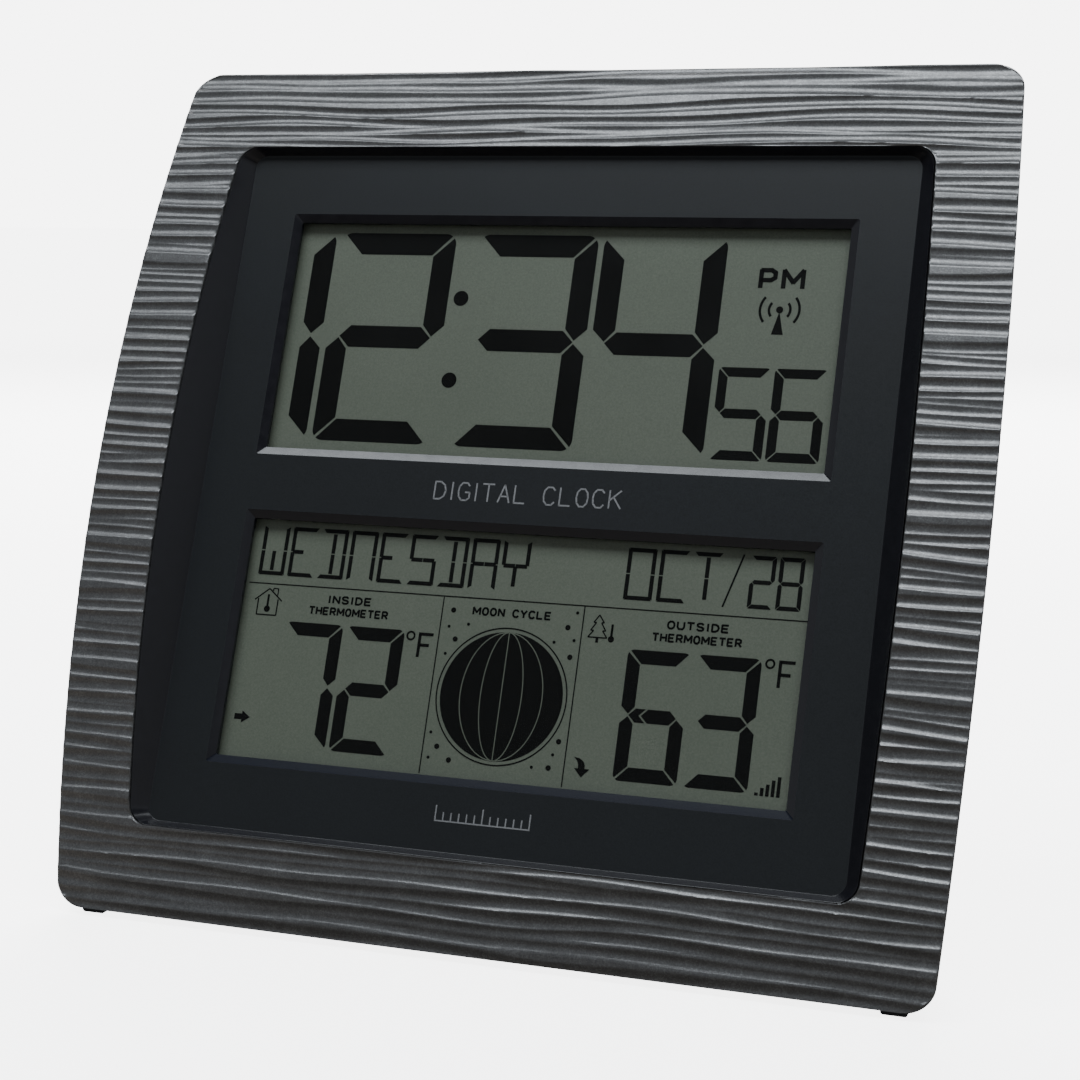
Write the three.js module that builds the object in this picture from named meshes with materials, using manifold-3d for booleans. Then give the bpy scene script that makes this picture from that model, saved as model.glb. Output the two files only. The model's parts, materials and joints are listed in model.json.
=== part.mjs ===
// A square digital desk and wall clock, standing on two front feet and a fold-out rear leg.
// Millimetres, +Z up. The clock itself is built upright in its own frame and then leaned back:
// x to the right across the face, z up the face from its lower edge, y backwards from the plane
// of the face's upper and lower edges (so the bowed face reaches forward to y = -BOW).
import * as THREE from 'three';
import { mergeVertices } from 'three/addons/utils/BufferGeometryUtils.js';
import Module from 'manifold-3d';

const wasm = await Module();
wasm.setup();

// Overall form
const LEAN = THREE.MathUtils.degToRad(22); // how far the face leans back
const FACE_HALF = 112.7; // half the face's width at its upper and lower edges
const FACE_HEIGHT = 228.2;
const MID = FACE_HEIGHT / 2;
const BOW = 10.5; // how far the middle of the face bulges forward
const SIDE_FLARE = 0.424; // sides open towards the front by this much per millimetre of depth
const END_FLARE = Math.tan(LEAN); // top and bottom do too, so the underside is level on a table
const FACE_CORNER = 7;
const BACK = 23.5; // outer plane of the rear cover
const SEAM = 14; // where the front frame ends and the rear cover begins
const SHELL = 2.4; // front frame's wall
const COVER_WALL = 2;
const GAP = 0.3; // clearance between neighbouring pieces
const FORWARD = -14; // a depth safely in front of the face

// Opening in the front frame and the display bezel that shows through it
const OPEN_HALF = 92.09;
const OPEN_LOW = 22.3;
const OPEN_HIGH = 205.55;
const OPEN_FLARE = 0.498;
const OPEN_CORNER = 5;
const PANEL_FRONT = -0.41;
const PANEL_BACK = 1.59;
const PANEL_HALF = 90.56;
const PANEL_LOW = 24;
const PANEL_HIGH = 204.2;
const BEZEL_RIM_DROP = 0.9; // the bezel's rim stops this far behind the frame's face
const WINDOW_HALF = 74.4;
const CHAMFER_WIDTH = 2.1;
const CHAMFER_DEPTH = 1;
const WINDOWS = { upper: [123.5, 185.6], lower: [42.4, 104.4] };
const EAR_X = 99.5;
const EAR_Z = [58, 170];
const EAR = { inner: 89, outer: 103.5, halfHeight: 4.5, front: 0.1, hole: 1.3, pilot: 1.2, boss: 3 };
const BOARD_POST = { radius: 2.6, pilot: 1.2 };

// Glass, carrier and boards, front to back
const LENS = { half: 77.5, margin: 3, front: 1.89, back: 2.65 };
const GLASS = { half: 78, front: 2.95, step: 4.05, back: 5.15, ledge: 6 };
const GLASS_Z = { upper: [115.5, 189.5], lower: [36, 112.5] };
const CARRIER = { half: 81, low: 33, high: 192.4, inner: 78.4, back: 5.5, barBack: 7.8 };
const ZEBRA = { half: 70, width: 4, front: 4.35, back: 7.8 };
const BOARD = { half: 89, low: 88, high: 142, front: 8.1, back: 9.7 };
const BOARD_SCREWS = [[-85, 92], [85, 92], [-85, 138], [85, 138]];

// Rear cover's fittings
const COVER_SCREWS = [[-92, 16], [92, 16], [-45, 16], [45, 16], [-92, 212.5], [92, 212.5]];
const COVER_HOLE = { head: 3.2, shank: 1.7, seat: SEAM + 3, tube: 4.4, boss: 3.3, pilot: 1.6 };
const BUTTON_X = -70;
const BUTTON_Z = [96, 108, 120, 132];
const BUTTON_TRAVEL = 0.8;
const BUTTON_PROUD = 1;
const BUTTON_CAP = { halfWidth: 4, halfHeight: 2.5, radius: 2.4 };
const SWITCH = { half: 3, body: 3.5, height: 4.5, plunger: 1.5 };
const VENTS = { x0: -68, x1: -52, low: 74, height: 1.4, pitch: 3.2, count: 4 };
const BAY = { left: 37, right: 97, low: 40, high: 70, floor: 6.8, wall: 1.2 };
const CELL = { radius: 7.1, can: 49, length: 50.5, y: 14.2, nubRadius: 2.7 };
const CELL_X = (BAY.left + BAY.right) / 2;
const CELL_Z = { lower: BAY.low + 0.6 + CELL.radius, upper: BAY.high - 0.6 - CELL.radius };
const CELL_END = CELL.length / 2;
const CONTACT = { thick: 0.5, front: 9, back: 20, half: 5 };
const LEAD_RADIUS = 0.6;
const REBATE = 2; // how far the battery door's seat reaches beyond the bay
const DOOR_BACK = 22; // inner face of the battery door
const TAB_X = [47, 87];
const TAB_HALF = 4;
const LATCH_X = 67;
const LATCH_HALF = 5.5;
const THUMB = { radius: 11, half: 7, lift: 9.6 }; // scoop for the thumb above the door
const HANGER_Z = 193;
const KEYHOLE = { wide: 5.5, high: 4.5, corner: 1.2, slot: 2.4, rise: 11 };
const KEYHOLE_POCKET = { half: 7.5, floor: 16.5, below: 7, above: 15, wall: 1.5 };

// Rear leg
const HINGE = { y: 21.7, z: 128 };
const LEG_SPLAY = THREE.MathUtils.degToRad(11.5); // leg's angle from upright when it is out
const LEG = { half: 29.5, tipHalf: 22, halfThick: 1.4, barrel: 1.75, bore: 1.15, pad: 1.3 };
const PIN_RADIUS = 0.9;
const LEG_GRIP = { half: 9, low: 14, high: 24, radius: 4.9 }; // finger hole, measured from the tip
const LEG_HEEL = { halfThick: 1.2, rise: 3.2 }; // meets the pocket's floor when the leg is out
const PAD_HALF = 20;
const POCKET = { half: 30.5, low: 12.4, high: 132.4, floor: 19.9, deepLow: 122, deepFloor: 18.6 };
const POCKET_HOUSING = { half: 34.8, low: 11, high: 134, front: 17.1 };

// Radio parts above the upper display
const ROD = { y: 8.2, z: 198.5, radius: 4, x0: -78, x1: -18 };
const COIL = { radius: 5.7, x0: -58, x1: -38 };
const CRADLE_X = [-71, -25];
const RADIO = { front: 3.4, back: 4.6, low: 193.4, high: 204 };
const RADIO_BOARDS = { time: [14, 36], sensor: [50, 78] };
const RADIO_POSTS = [[18, ROD.z], [32, ROD.z], [54, ROD.z], [74, ROD.z]];
const HELIX = { radius: 2.2, wire: 0.4, turns: 5 };

// Feet
const FOOT = { x: 103.5, half: 3.15, front: 3, back: 13.5, height: 1.7 };
const FOOT_DROP = FOOT.height + GAP;

// Solids from geometry, and back
function solid(geometry) {
  const bare = geometry.clone();
  bare.deleteAttribute('normal');
  bare.deleteAttribute('uv');
  const merged = mergeVertices(bare, 1e-4);
  const mesh = new wasm.Mesh({
    numProp: 3,
    vertProperties: new Float32Array(merged.attributes.position.array),
    triVerts: new Uint32Array(merged.index.array),
  });
  return new wasm.Manifold(mesh);
}

function toGeometry(body) {
  const mesh = body.getMesh();
  const geometry = new THREE.BufferGeometry();
  geometry.setAttribute('position', new THREE.BufferAttribute(mesh.vertProperties, 3));
  geometry.setIndex(new THREE.BufferAttribute(mesh.triVerts, 1));
  return geometry;
}

function join(first, ...others) {
  return others.reduce((whole, part) => whole.add(part), first);
}

function cut(first, ...others) {
  return others.reduce((whole, part) => whole.subtract(part), first);
}

// Box between two corners
function block(x0, x1, y0, y1, z0, z1) {
  const geometry = new THREE.BoxGeometry(x1 - x0, y1 - y0, z1 - z0);
  geometry.translate((x0 + x1) / 2, (y0 + y1) / 2, (z0 + z1) / 2);
  return solid(geometry);
}

// Round bar along y at (x, z), from y0 to y1
function pillar(radius, x, z, y0, y1, sides = 12) {
  const geometry = new THREE.CylinderGeometry(radius, radius, y1 - y0, sides);
  geometry.translate(x, (y0 + y1) / 2, z);
  return solid(geometry);
}

// Round bar along x at (y, z), from x0 to x1
function crossBar(radius, y, z, x0, x1, sides = 16) {
  const geometry = new THREE.CylinderGeometry(radius, radius, x1 - x0, sides);
  geometry.rotateZ(Math.PI / 2);
  geometry.translate((x0 + x1) / 2, y, z);
  return solid(geometry);
}

// Outline of a rounded rectangle, drawn in the face's x and z
function roundedRect(x0, x1, z0, z1, radius) {
  const shape = new THREE.Shape();
  shape.moveTo(x0 + radius, z0);
  shape.lineTo(x1 - radius, z0);
  shape.absarc(x1 - radius, z0 + radius, radius, -Math.PI / 2, 0);
  shape.lineTo(x1, z1 - radius);
  shape.absarc(x1 - radius, z1 - radius, radius, 0, Math.PI / 2);
  shape.lineTo(x0 + radius, z1);
  shape.absarc(x0 + radius, z1 - radius, radius, Math.PI / 2, Math.PI);
  shape.lineTo(x0, z0 + radius);
  shape.absarc(x0 + radius, z0 + radius, radius, Math.PI, 1.5 * Math.PI);
  return shape;
}

// Plate of a given outline between two depths
function plate(shape, y0, y1, curveSegments = 3) {
  const geometry = new THREE.ExtrudeGeometry(shape, { depth: y1 - y0, bevelEnabled: false, curveSegments });
  geometry.rotateX(Math.PI / 2);
  geometry.translate(0, y1, 0);
  return geometry;
}

function slab(x0, x1, z0, z1, radius, y0, y1) {
  return solid(plate(roundedRect(x0, x1, z0, z1, radius), y0, y1));
}

// Rounded block whose sides open towards the front: size is given at depth yRef
function flared({ half, low, high, radius, yRef, flareX, flareZ, y0, y1 }) {
  const geometry = plate(roundedRect(-half, half, low, high, radius), y0, y1);
  const middle = (low + high) / 2;
  const halfHeight = (high - low) / 2;
  const position = geometry.attributes.position;
  for (let i = 0; i < position.count; i += 1) {
    const ahead = yRef - position.getY(i);
    const x = position.getX(i) * (1 + (flareX * ahead) / half);
    const z = middle + (position.getZ(i) - middle) * (1 + (flareZ * ahead) / halfHeight);
    position.setX(i, x);
    position.setZ(i, z);
  }
  return solid(geometry);
}

// Everything behind the bowed face, moved back by inset
function behindBow(inset) {
  const radius = (MID * MID + BOW * BOW) / (2 * BOW);
  const centre = radius - BOW;
  const reach = Math.asin((MID + 12) / radius);
  const shape = new THREE.Shape();
  shape.absarc(centre, MID, radius - inset, Math.PI - reach, Math.PI + reach);
  shape.lineTo(60, MID - (radius - inset) * Math.sin(reach));
  shape.lineTo(60, MID + (radius - inset) * Math.sin(reach));
  const geometry = new THREE.ExtrudeGeometry(shape, { depth: 260, bevelEnabled: false, curveSegments: 10 });
  const alongX = new THREE.Matrix4();
  alongX.makeBasis(new THREE.Vector3(0, 1, 0), new THREE.Vector3(0, 0, 1), new THREE.Vector3(1, 0, 0));
  geometry.applyMatrix4(alongX);
  geometry.translate(-130, 0, 0);
  return solid(geometry);
}

// The clock's outer body, shrunk by inset on every side
function bodyBlock(inset, y0, y1) {
  return flared({
    half: FACE_HALF - inset,
    low: inset,
    high: FACE_HEIGHT - inset,
    radius: FACE_CORNER - inset / 2,
    yRef: 0,
    flareX: SIDE_FLARE,
    flareZ: END_FLARE,
    y0,
    y1,
  });
}

function frontFrame() {
  const shell = cut(
    bodyBlock(0, FORWARD, SEAM).intersect(behindBow(0)),
    bodyBlock(SHELL, FORWARD, SEAM + 5).intersect(behindBow(SHELL)),
  );
  const opening = flared({
    half: OPEN_HALF,
    low: OPEN_LOW,
    high: OPEN_HIGH,
    radius: OPEN_CORNER,
    yRef: 0,
    flareX: OPEN_FLARE,
    flareZ: 0,
    y0: FORWARD,
    y1: 9,
  });
  const inFront = behindBow(1);
  const coverBosses = COVER_SCREWS.map(([x, z]) => {
    return pillar(COVER_HOLE.boss, x, z, FORWARD, SEAM + 0.2).intersect(inFront);
  });
  const earBosses = mirrored(EAR_Z).map(([x, z]) => {
    return pillar(EAR.boss, x, z, FORWARD, -0.2).intersect(inFront);
  });
  const pilots = COVER_SCREWS.map(([x, z]) => pillar(COVER_HOLE.pilot, x, z, 4, SEAM + 1, 8));
  const earPilots = mirrored(EAR_Z).map(([x, z]) => pillar(EAR.pilot, x, z, -5, 1, 8));
  return cut(join(cut(shell, opening), ...coverBosses, ...earBosses), ...pilots, ...earPilots);
}

// The bezel's ear screws: one left and one right at each height
function mirrored(heights) {
  return heights.flatMap((z) => [[-EAR_X, z], [EAR_X, z]]);
}

function windowCut([low, high]) {
  const chamfer = flared({
    half: WINDOW_HALF,
    low,
    high,
    radius: 0.4,
    yRef: PANEL_FRONT + CHAMFER_DEPTH,
    flareX: CHAMFER_WIDTH / CHAMFER_DEPTH,
    flareZ: CHAMFER_WIDTH / CHAMFER_DEPTH,
    y0: PANEL_FRONT - 0.5,
    y1: PANEL_FRONT + CHAMFER_DEPTH,
  });
  const through = slab(-WINDOW_HALF, WINDOW_HALF, low, high, 0.4, PANEL_FRONT, PANEL_BACK + 1);
  return join(chamfer, through);
}

function displayBezel() {
  const tray = flared({
    half: OPEN_HALF - GAP,
    low: OPEN_LOW + GAP,
    high: OPEN_HIGH - GAP,
    radius: OPEN_CORNER - GAP,
    yRef: 0,
    flareX: OPEN_FLARE,
    flareZ: 0,
    y0: FORWARD,
    y1: PANEL_BACK,
  }).intersect(behindBow(BEZEL_RIM_DROP));
  const hollow = flared({
    half: PANEL_HALF,
    low: PANEL_LOW,
    high: PANEL_HIGH,
    radius: OPEN_CORNER - 1.4,
    yRef: PANEL_FRONT,
    flareX: OPEN_FLARE,
    flareZ: 0,
    y0: FORWARD,
    y1: PANEL_FRONT,
  });
  const ears = mirrored(EAR_Z).map(([x, z]) => {
    const ends = [EAR.inner, EAR.outer].map((reach) => Math.sign(x) * reach);
    const low = z - EAR.halfHeight;
    return slab(Math.min(...ends), Math.max(...ends), low, z + EAR.halfHeight, 2, EAR.front, PANEL_BACK);
  });
  const earHoles = mirrored(EAR_Z).map(([x, z]) => pillar(EAR.hole, x, z, -1, PANEL_BACK + 1, 8));
  const boardPosts = BOARD_SCREWS.map(([x, z]) => {
    return pillar(BOARD_POST.radius, x, z, PANEL_BACK - 0.5, BOARD.front - GAP);
  });
  const pilots = BOARD_SCREWS.map(([x, z]) => {
    return pillar(BOARD_POST.pilot, x, z, PANEL_BACK + 0.8, BOARD.front, 8);
  });
  const radioPosts = RADIO_POSTS.map(([x, z]) => pillar(1.6, x, z, PANEL_BACK - 0.5, RADIO.front - GAP, 8));
  const body = join(cut(tray, hollow), ...ears, ...boardPosts, ...radioPosts);
  return cut(body, ...earHoles, ...pilots, windowCut(WINDOWS.upper), windowCut(WINDOWS.lower));
}

function lens([low, high]) {
  return slab(-LENS.half, LENS.half, low - LENS.margin, high + LENS.margin, 1, LENS.front, LENS.back);
}

// Two bonded glasses. The front one runs on past the rear one and carries the contacts.
function lcd([low, high], ledgeAtTop) {
  const rearLow = ledgeAtTop ? low : low + GLASS.ledge;
  const rearHigh = ledgeAtTop ? high - GLASS.ledge : high;
  return join(
    block(-GLASS.half, GLASS.half, GLASS.front, GLASS.step, low, high),
    block(-GLASS.half, GLASS.half, GLASS.step - 0.1, GLASS.back, rearLow, rearHigh),
  );
}

function lcdCarrier() {
  const [upperLow, upperHigh] = GLASS_Z.upper;
  const [lowerLow, lowerHigh] = GLASS_Z.lower;
  const outer = slab(-CARRIER.half, CARRIER.half, CARRIER.low, CARRIER.high, 1.5, LENS.front, CARRIER.back);
  const bar = block(-ZEBRA.half, ZEBRA.half, LENS.back, CARRIER.barBack, lowerHigh + 0.4, upperLow - 0.4);
  const space = (low, high) => block(-CARRIER.inner, CARRIER.inner, 0, 9, low - 0.4, high + 0.4);
  return cut(join(outer, bar), space(upperLow, upperHigh), space(lowerLow, lowerHigh));
}

function zebraStrip(middle) {
  const low = middle - ZEBRA.width / 2;
  return block(-ZEBRA.half, ZEBRA.half, ZEBRA.front, ZEBRA.back, low, low + ZEBRA.width);
}

function mainBoard() {
  const board = slab(-BOARD.half, BOARD.half, BOARD.low, BOARD.high, 1.5, BOARD.front, BOARD.back);
  const holes = BOARD_SCREWS.map(([x, z]) => pillar(1.4, x, z, BOARD.front - 1, BOARD.back + 1, 8));
  return cut(board, ...holes);
}

// Turned piece: points are radius and depth, running from the front to the back
function turned(points, x, z, sides = 16) {
  const geometry = new THREE.LatheGeometry(points.map(([r, y]) => new THREE.Vector2(r, y)), sides);
  geometry.translate(x, 0, z);
  return solid(geometry);
}

// Pan-head screw driven from the back, its head seated at depth seat
function screw([x, z], seat, length, shank, head) {
  const points = [
    [0, seat - length],
    [shank, seat - length + 1.2],
    [shank, seat],
    [head, seat],
    [head, seat + 0.9],
    [head * 0.75, seat + 1.6],
    [0, seat + 1.7],
  ];
  return turned(points, x, z, 10);
}

function tactSwitch(z) {
  const front = BOARD.back + GAP;
  const { half } = SWITCH;
  const body = block(BUTTON_X - half, BUTTON_X + half, front, front + SWITCH.body, z - half, z + half);
  return join(body, pillar(SWITCH.plunger, BUTTON_X, z, front + 3, front + SWITCH.height));
}

function button(z) {
  const plungerBack = BOARD.back + GAP + SWITCH.height;
  const flangeBack = BACK - COVER_WALL - GAP;
  const { halfWidth: w, halfHeight: h, radius } = BUTTON_CAP;
  const rim = 1.2;
  const sides = (grow) => [BUTTON_X - w - grow, BUTTON_X + w + grow, z - h - grow, z + h + grow];
  const stem = pillar(SWITCH.plunger, BUTTON_X, z, plungerBack + BUTTON_TRAVEL + GAP, flangeBack, 8);
  const flange = slab(...sides(rim), 1, flangeBack - 1, flangeBack);
  const cap = slab(...sides(0), radius, flangeBack - 0.5, BACK + BUTTON_PROUD);
  return join(stem, flange, cap);
}

function antennaCoil() {
  const outer = crossBar(COIL.radius, ROD.y, ROD.z, COIL.x0, COIL.x1, 20);
  return cut(outer, crossBar(ROD.radius + GAP, ROD.y, ROD.z, COIL.x0 - 1, COIL.x1 + 1, 20));
}

function antennaCradle(x) {
  const ring = crossBar(ROD.radius + 1.5, ROD.y, ROD.z, x - 2, x + 2, 20);
  const stem = block(x - 2, x + 2, PANEL_BACK + GAP, ROD.y - 2, ROD.z - 3.2, ROD.z + 3.2);
  const bore = crossBar(ROD.radius + GAP, ROD.y, ROD.z, x - 3, x + 3, 20);
  const mouth = block(x - 3, x + 3, ROD.y + 2, ROD.y + 9, ROD.z - 2.8, ROD.z + 2.8);
  return cut(join(ring, stem), bore, mouth);
}

function radioBoard([x0, x1]) {
  return slab(x0, x1, RADIO.low, RADIO.high, 0.8, RADIO.front, RADIO.back);
}

// Wire swept along a smooth curve through points
function wire(points, radius, steps) {
  const curve = new THREE.CatmullRomCurve3(points.map((p) => new THREE.Vector3(...p)));
  const section = new THREE.Shape();
  section.absarc(0, 0, radius, 0, 2 * Math.PI);
  const options = { steps, bevelEnabled: false, extrudePath: curve, curveSegments: 3 };
  return solid(new THREE.ExtrudeGeometry(section, options));
}

// Points of a coil of wire along x
function coilPoints(x0, x1, y, z, radius0, radius1, turns) {
  const perTurn = 8;
  const count = turns * perTurn;
  return Array.from({ length: count + 1 }, (_, i) => {
    const t = i / count;
    const angle = (2 * Math.PI * i) / perTurn;
    const radius = THREE.MathUtils.lerp(radius0, radius1, t);
    return [x0 + (x1 - x0) * t, y + radius * Math.cos(angle), z + radius * Math.sin(angle)];
  });
}

function helicalAntenna() {
  const [x0] = RADIO_BOARDS.sensor;
  const middle = RADIO.back + 3.2;
  const { radius, turns } = HELIX;
  return wire(coilPoints(x0 + 6, x0 + 20, middle, ROD.z, radius, radius, turns), HELIX.wire, 40);
}

function thermistor() {
  const bead = new THREE.SphereGeometry(1.6, 12, 8);
  bead.translate(-60, 8.9, 82.5);
  const legs = [-0.7, 0.7].map((dx) => block(-60.25 + dx, -59.75 + dx, 8.65, 9.15, 83, BOARD.low - GAP));
  return join(solid(bead), ...legs);
}

// Rear cover
function coverScrewTube([x, z]) {
  return pillar(COVER_HOLE.tube, x, z, SEAM + 0.5, BACK - 0.5);
}

function coverScrewHole([x, z]) {
  const head = pillar(COVER_HOLE.head, x, z, COVER_HOLE.seat, BACK + 1);
  return join(head, pillar(COVER_HOLE.shank, x, z, SEAM, COVER_HOLE.seat + 1, 8));
}

function keyhole() {
  const { wide, high, corner, slot, rise } = KEYHOLE;
  const entry = slab(-wide, wide, HANGER_Z - high, HANGER_Z + high, corner, BACK - 4, BACK + 1);
  const narrow = slab(-slot, slot, HANGER_Z - slot, HANGER_Z + rise, slot - 0.1, BACK - 4, BACK + 1);
  return join(entry, narrow);
}

// The closed pocket behind the keyhole, which keeps the wall screw's head off the boards
function keyholePocket(wall, back) {
  const { half, floor, below, above } = KEYHOLE_POCKET;
  return block(-half - wall, half + wall, floor - wall, back, HANGER_Z - below - wall, HANGER_Z + above + wall);
}

function batteryBaySpace() {
  const seat = [BAY.left - REBATE, BAY.right + REBATE, BAY.low - REBATE, BAY.high + REBATE];
  return join(
    block(BAY.left, BAY.right, BAY.floor, BACK + 1, BAY.low, BAY.high),
    slab(...seat, 1.5, DOOR_BACK - GAP, BACK + 1),
    ...TAB_X.map((x) => {
      const half = TAB_HALF + 0.4;
      return block(x - half, x + half, 19.3, DOOR_BACK, BAY.low - REBATE - 2.2, BAY.low + 1);
    }),
    block(LATCH_X - 6, LATCH_X + 6, 18, DOOR_BACK, BAY.high - 1, BAY.high + REBATE + 0.2),
  );
}

function rearCover() {
  const y0 = SEAM + GAP;
  const shell = cut(bodyBlock(0, y0, BACK), bodyBlock(COVER_WALL, y0 - 1, BACK - COVER_WALL));
  const lipInset = SHELL + GAP;
  const lip = cut(
    join(bodyBlock(lipInset, SEAM - 2.5, y0 + 1), bodyBlock(COVER_WALL - 0.5, y0, y0 + 1.5)),
    bodyBlock(lipInset + 1.2, SEAM - 4, y0 + 4),
  );
  const tubes = COVER_SCREWS.map(coverScrewTube);
  const w = BAY.wall;
  const inner = BACK - COVER_WALL + 0.5;
  const bay = block(BAY.left - w, BAY.right + w, BAY.floor - 1, inner, BAY.low - w, BAY.high + w);
  const seatReach = REBATE + 1.5;
  const [seatLow, seatHigh] = [BAY.low - seatReach, BAY.high + seatReach];
  const seat = block(BAY.left - seatReach, BAY.right + seatReach, 19.9, inner, seatLow, seatHigh);
  const housing = POCKET_HOUSING;
  const legHousing = block(-housing.half, housing.half, housing.front, inner, housing.low, housing.high);
  const pocket = join(
    block(-POCKET.half, POCKET.half, POCKET.floor, BACK + 1, POCKET.low, POCKET.high),
    block(-POCKET.half, POCKET.half, POCKET.deepFloor, BACK, POCKET.deepLow, POCKET.high),
  );
  const pinHole = crossBar(PIN_RADIUS + GAP, HINGE.y, HINGE.z, -34, 34, 12);
  const [thumbLeft, thumbRight] = [LATCH_X - THUMB.half, LATCH_X + THUMB.half];
  const thumb = crossBar(THUMB.radius, BACK + THUMB.lift, BAY.high + 5.5, thumbLeft, thumbRight, 24);
  const buttonHoles = BUTTON_Z.map((z) => {
    const halfWidth = BUTTON_CAP.halfWidth + GAP;
    const halfHeight = BUTTON_CAP.halfHeight + GAP;
    const [left, right] = [BUTTON_X - halfWidth, BUTTON_X + halfWidth];
    return slab(left, right, z - halfHeight, z + halfHeight, 2.6, 19, BACK + 1);
  });
  const vents = Array.from({ length: VENTS.count }, (_, i) => {
    const low = VENTS.low + VENTS.pitch * i;
    return slab(VENTS.x0, VENTS.x1, low, low + VENTS.height, 0.6, 19, BACK + 1);
  });
  const body = join(shell, lip, ...tubes, bay, seat, legHousing, keyholePocket(KEYHOLE_POCKET.wall, inner));
  const hanger = join(keyhole(), keyholePocket(0, BACK - COVER_WALL));
  const holes = [batteryBaySpace(), pocket, pinHole, thumb, hanger, ...buttonHoles, ...vents];
  return cut(body, ...holes, ...COVER_SCREWS.map(coverScrewHole));
}

function batteryDoor() {
  const g = GAP;
  const edge = [BAY.left - REBATE + g, BAY.right + REBATE - g, BAY.low - REBATE + g, BAY.high + REBATE - g];
  const panel = slab(...edge, 1.3, DOOR_BACK, BACK);
  const tabs = TAB_X.map((x) => join(
    block(x - TAB_HALF, x + TAB_HALF, 19.8, 21.2, BAY.low - REBATE - 1.7, BAY.low + 0.6),
    block(x - TAB_HALF, x + TAB_HALF, 20, DOOR_BACK + 0.5, BAY.low - REBATE + 1, BAY.low + 0.6),
  ));
  const [left, right] = [LATCH_X - LATCH_HALF, LATCH_X + LATCH_HALF];
  const tongue = block(left, right, 18.5, DOOR_BACK + 0.5, BAY.high - 0.6, BAY.high + 0.8);
  const hook = block(left, right, 19.9, 21.2, BAY.high, BAY.high + REBATE - 0.7);
  return join(panel, ...tabs, tongue, hook);
}

// Dry cell lying along x, its raised contact towards +x or -x
function cell(z, towards) {
  const x0 = -CELL.length / 2;
  const canEnd = x0 + CELL.can;
  const points = [
    [0, x0],
    [CELL.radius - 0.8, x0],
    [CELL.radius, x0 + 0.8],
    [CELL.radius, canEnd - 0.8],
    [CELL.radius - 0.8, canEnd],
    [CELL.nubRadius, canEnd],
    [CELL.nubRadius, canEnd + 1.5],
    [0, canEnd + 1.5],
  ];
  const geometry = new THREE.LatheGeometry(points.map(([r, h]) => new THREE.Vector2(r, h)), 24);
  geometry.rotateZ((-towards * Math.PI) / 2);
  geometry.translate(CELL_X, CELL.y, z);
  return solid(geometry);
}

// Contact plates stand at the ends of the bay, facing towards +x or -x
function contactPlate(x, towards, z) {
  const inner = x + towards * CONTACT.thick;
  const { front, back, half } = CONTACT;
  return block(Math.min(x, inner), Math.max(x, inner), front, back, z - half, z + half);
}

function flatContact(x, towards, z) {
  const dimple = x + towards * 1.1;
  const boss = crossBar(2, CELL.y, z, Math.min(x, dimple), Math.max(x, dimple), 12);
  return join(contactPlate(x, towards, z), boss);
}

function springContact(x, towards, z) {
  const tip = CELL_X - towards * (CELL_END + GAP + 0.4);
  const coil = wire(coilPoints(x + towards * 0.4, tip, CELL.y, z, 4.2, 2.6, 3), 0.4, 30);
  return join(contactPlate(x, towards, z), coil);
}

function linkContact() {
  const x = BAY.right - GAP;
  const bridge = block(x - CONTACT.thick, x, 12, 16, CELL_Z.lower, CELL_Z.upper);
  return join(springContact(x, -1, CELL_Z.upper), flatContact(x, -1, CELL_Z.lower), bridge);
}

// Lead from the bay's side wall up the gap at riseX, and over the board's edge to its pad at padX
function batteryLead(z, riseX, padX) {
  const points = [
    [BAY.left - BAY.wall - 1, 11, z],
    [riseX + 0.5, 11, z + 3],
    [riseX, 11.5, BOARD.low - 8],
    [padX, 13, BOARD.low - 2],
    [padX, 13, BOARD.low + 4],
    [padX, BOARD.back + 0.9, BOARD.low + 6],
  ];
  return wire(points, LEAD_RADIUS, 20);
}

// Rear leg in its own frame: hinge line at the origin, tip downwards
function standLeg(hingeHeight) {
  const outline = new THREE.Shape();
  const tip = -hingeHeight / Math.cos(LEG_SPLAY) - 2;
  outline.moveTo(-LEG.half, -1);
  outline.lineTo(-LEG.tipHalf, tip);
  outline.lineTo(LEG.tipHalf, tip);
  outline.lineTo(LEG.half, -1);
  const blade = solid(plate(outline, -LEG.halfThick, LEG.halfThick));
  const barrel = crossBar(LEG.barrel, 0, 0, -LEG.half, LEG.half, 20);
  const heel = block(-LEG.half, LEG.half, -LEG_HEEL.halfThick, LEG_HEEL.halfThick, 0, LEG_HEEL.rise);
  const bore = crossBar(LEG.bore, 0, 0, -LEG.half - 1, LEG.half + 1, 12);
  const { half, low, high, radius } = LEG_GRIP;
  const grip = slab(-half, half, tip + low, tip + high, radius, -3, 3);
  return cut(join(blade, barrel, heel), bore, grip, belowTable(hingeHeight - LEG.pad - GAP));
}

// Half space under the table, drop below the hinge line, as the splayed leg sees it
function belowTable(drop) {
  const geometry = new THREE.BoxGeometry(200, 200, 60);
  geometry.translate(0, 0, -drop - 30);
  geometry.rotateX(-LEG_SPLAY);
  return solid(geometry);
}

function foot(side) {
  const x = side * FOOT.x;
  const shape = roundedRect(x - FOOT.half, x + FOOT.half, 0, FOOT.height + 1, 0.7);
  const body = solid(plate(shape, FOOT.front, FOOT.back));
  return cut(body, block(x - 9, x + 9, 0, 30, FOOT.height, FOOT.height + 3));
}

// Assembly
const part = new THREE.Group();
const upright = new THREE.Group(); // the clock, leaned back as one
const halfDepth = ((FACE_HEIGHT - END_FLARE * BACK) * Math.sin(LEAN) + BACK * Math.cos(LEAN)) / 2;
upright.position.set(0, -halfDepth, FOOT_DROP);
upright.rotation.x = -LEAN;
part.add(upright);

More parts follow.
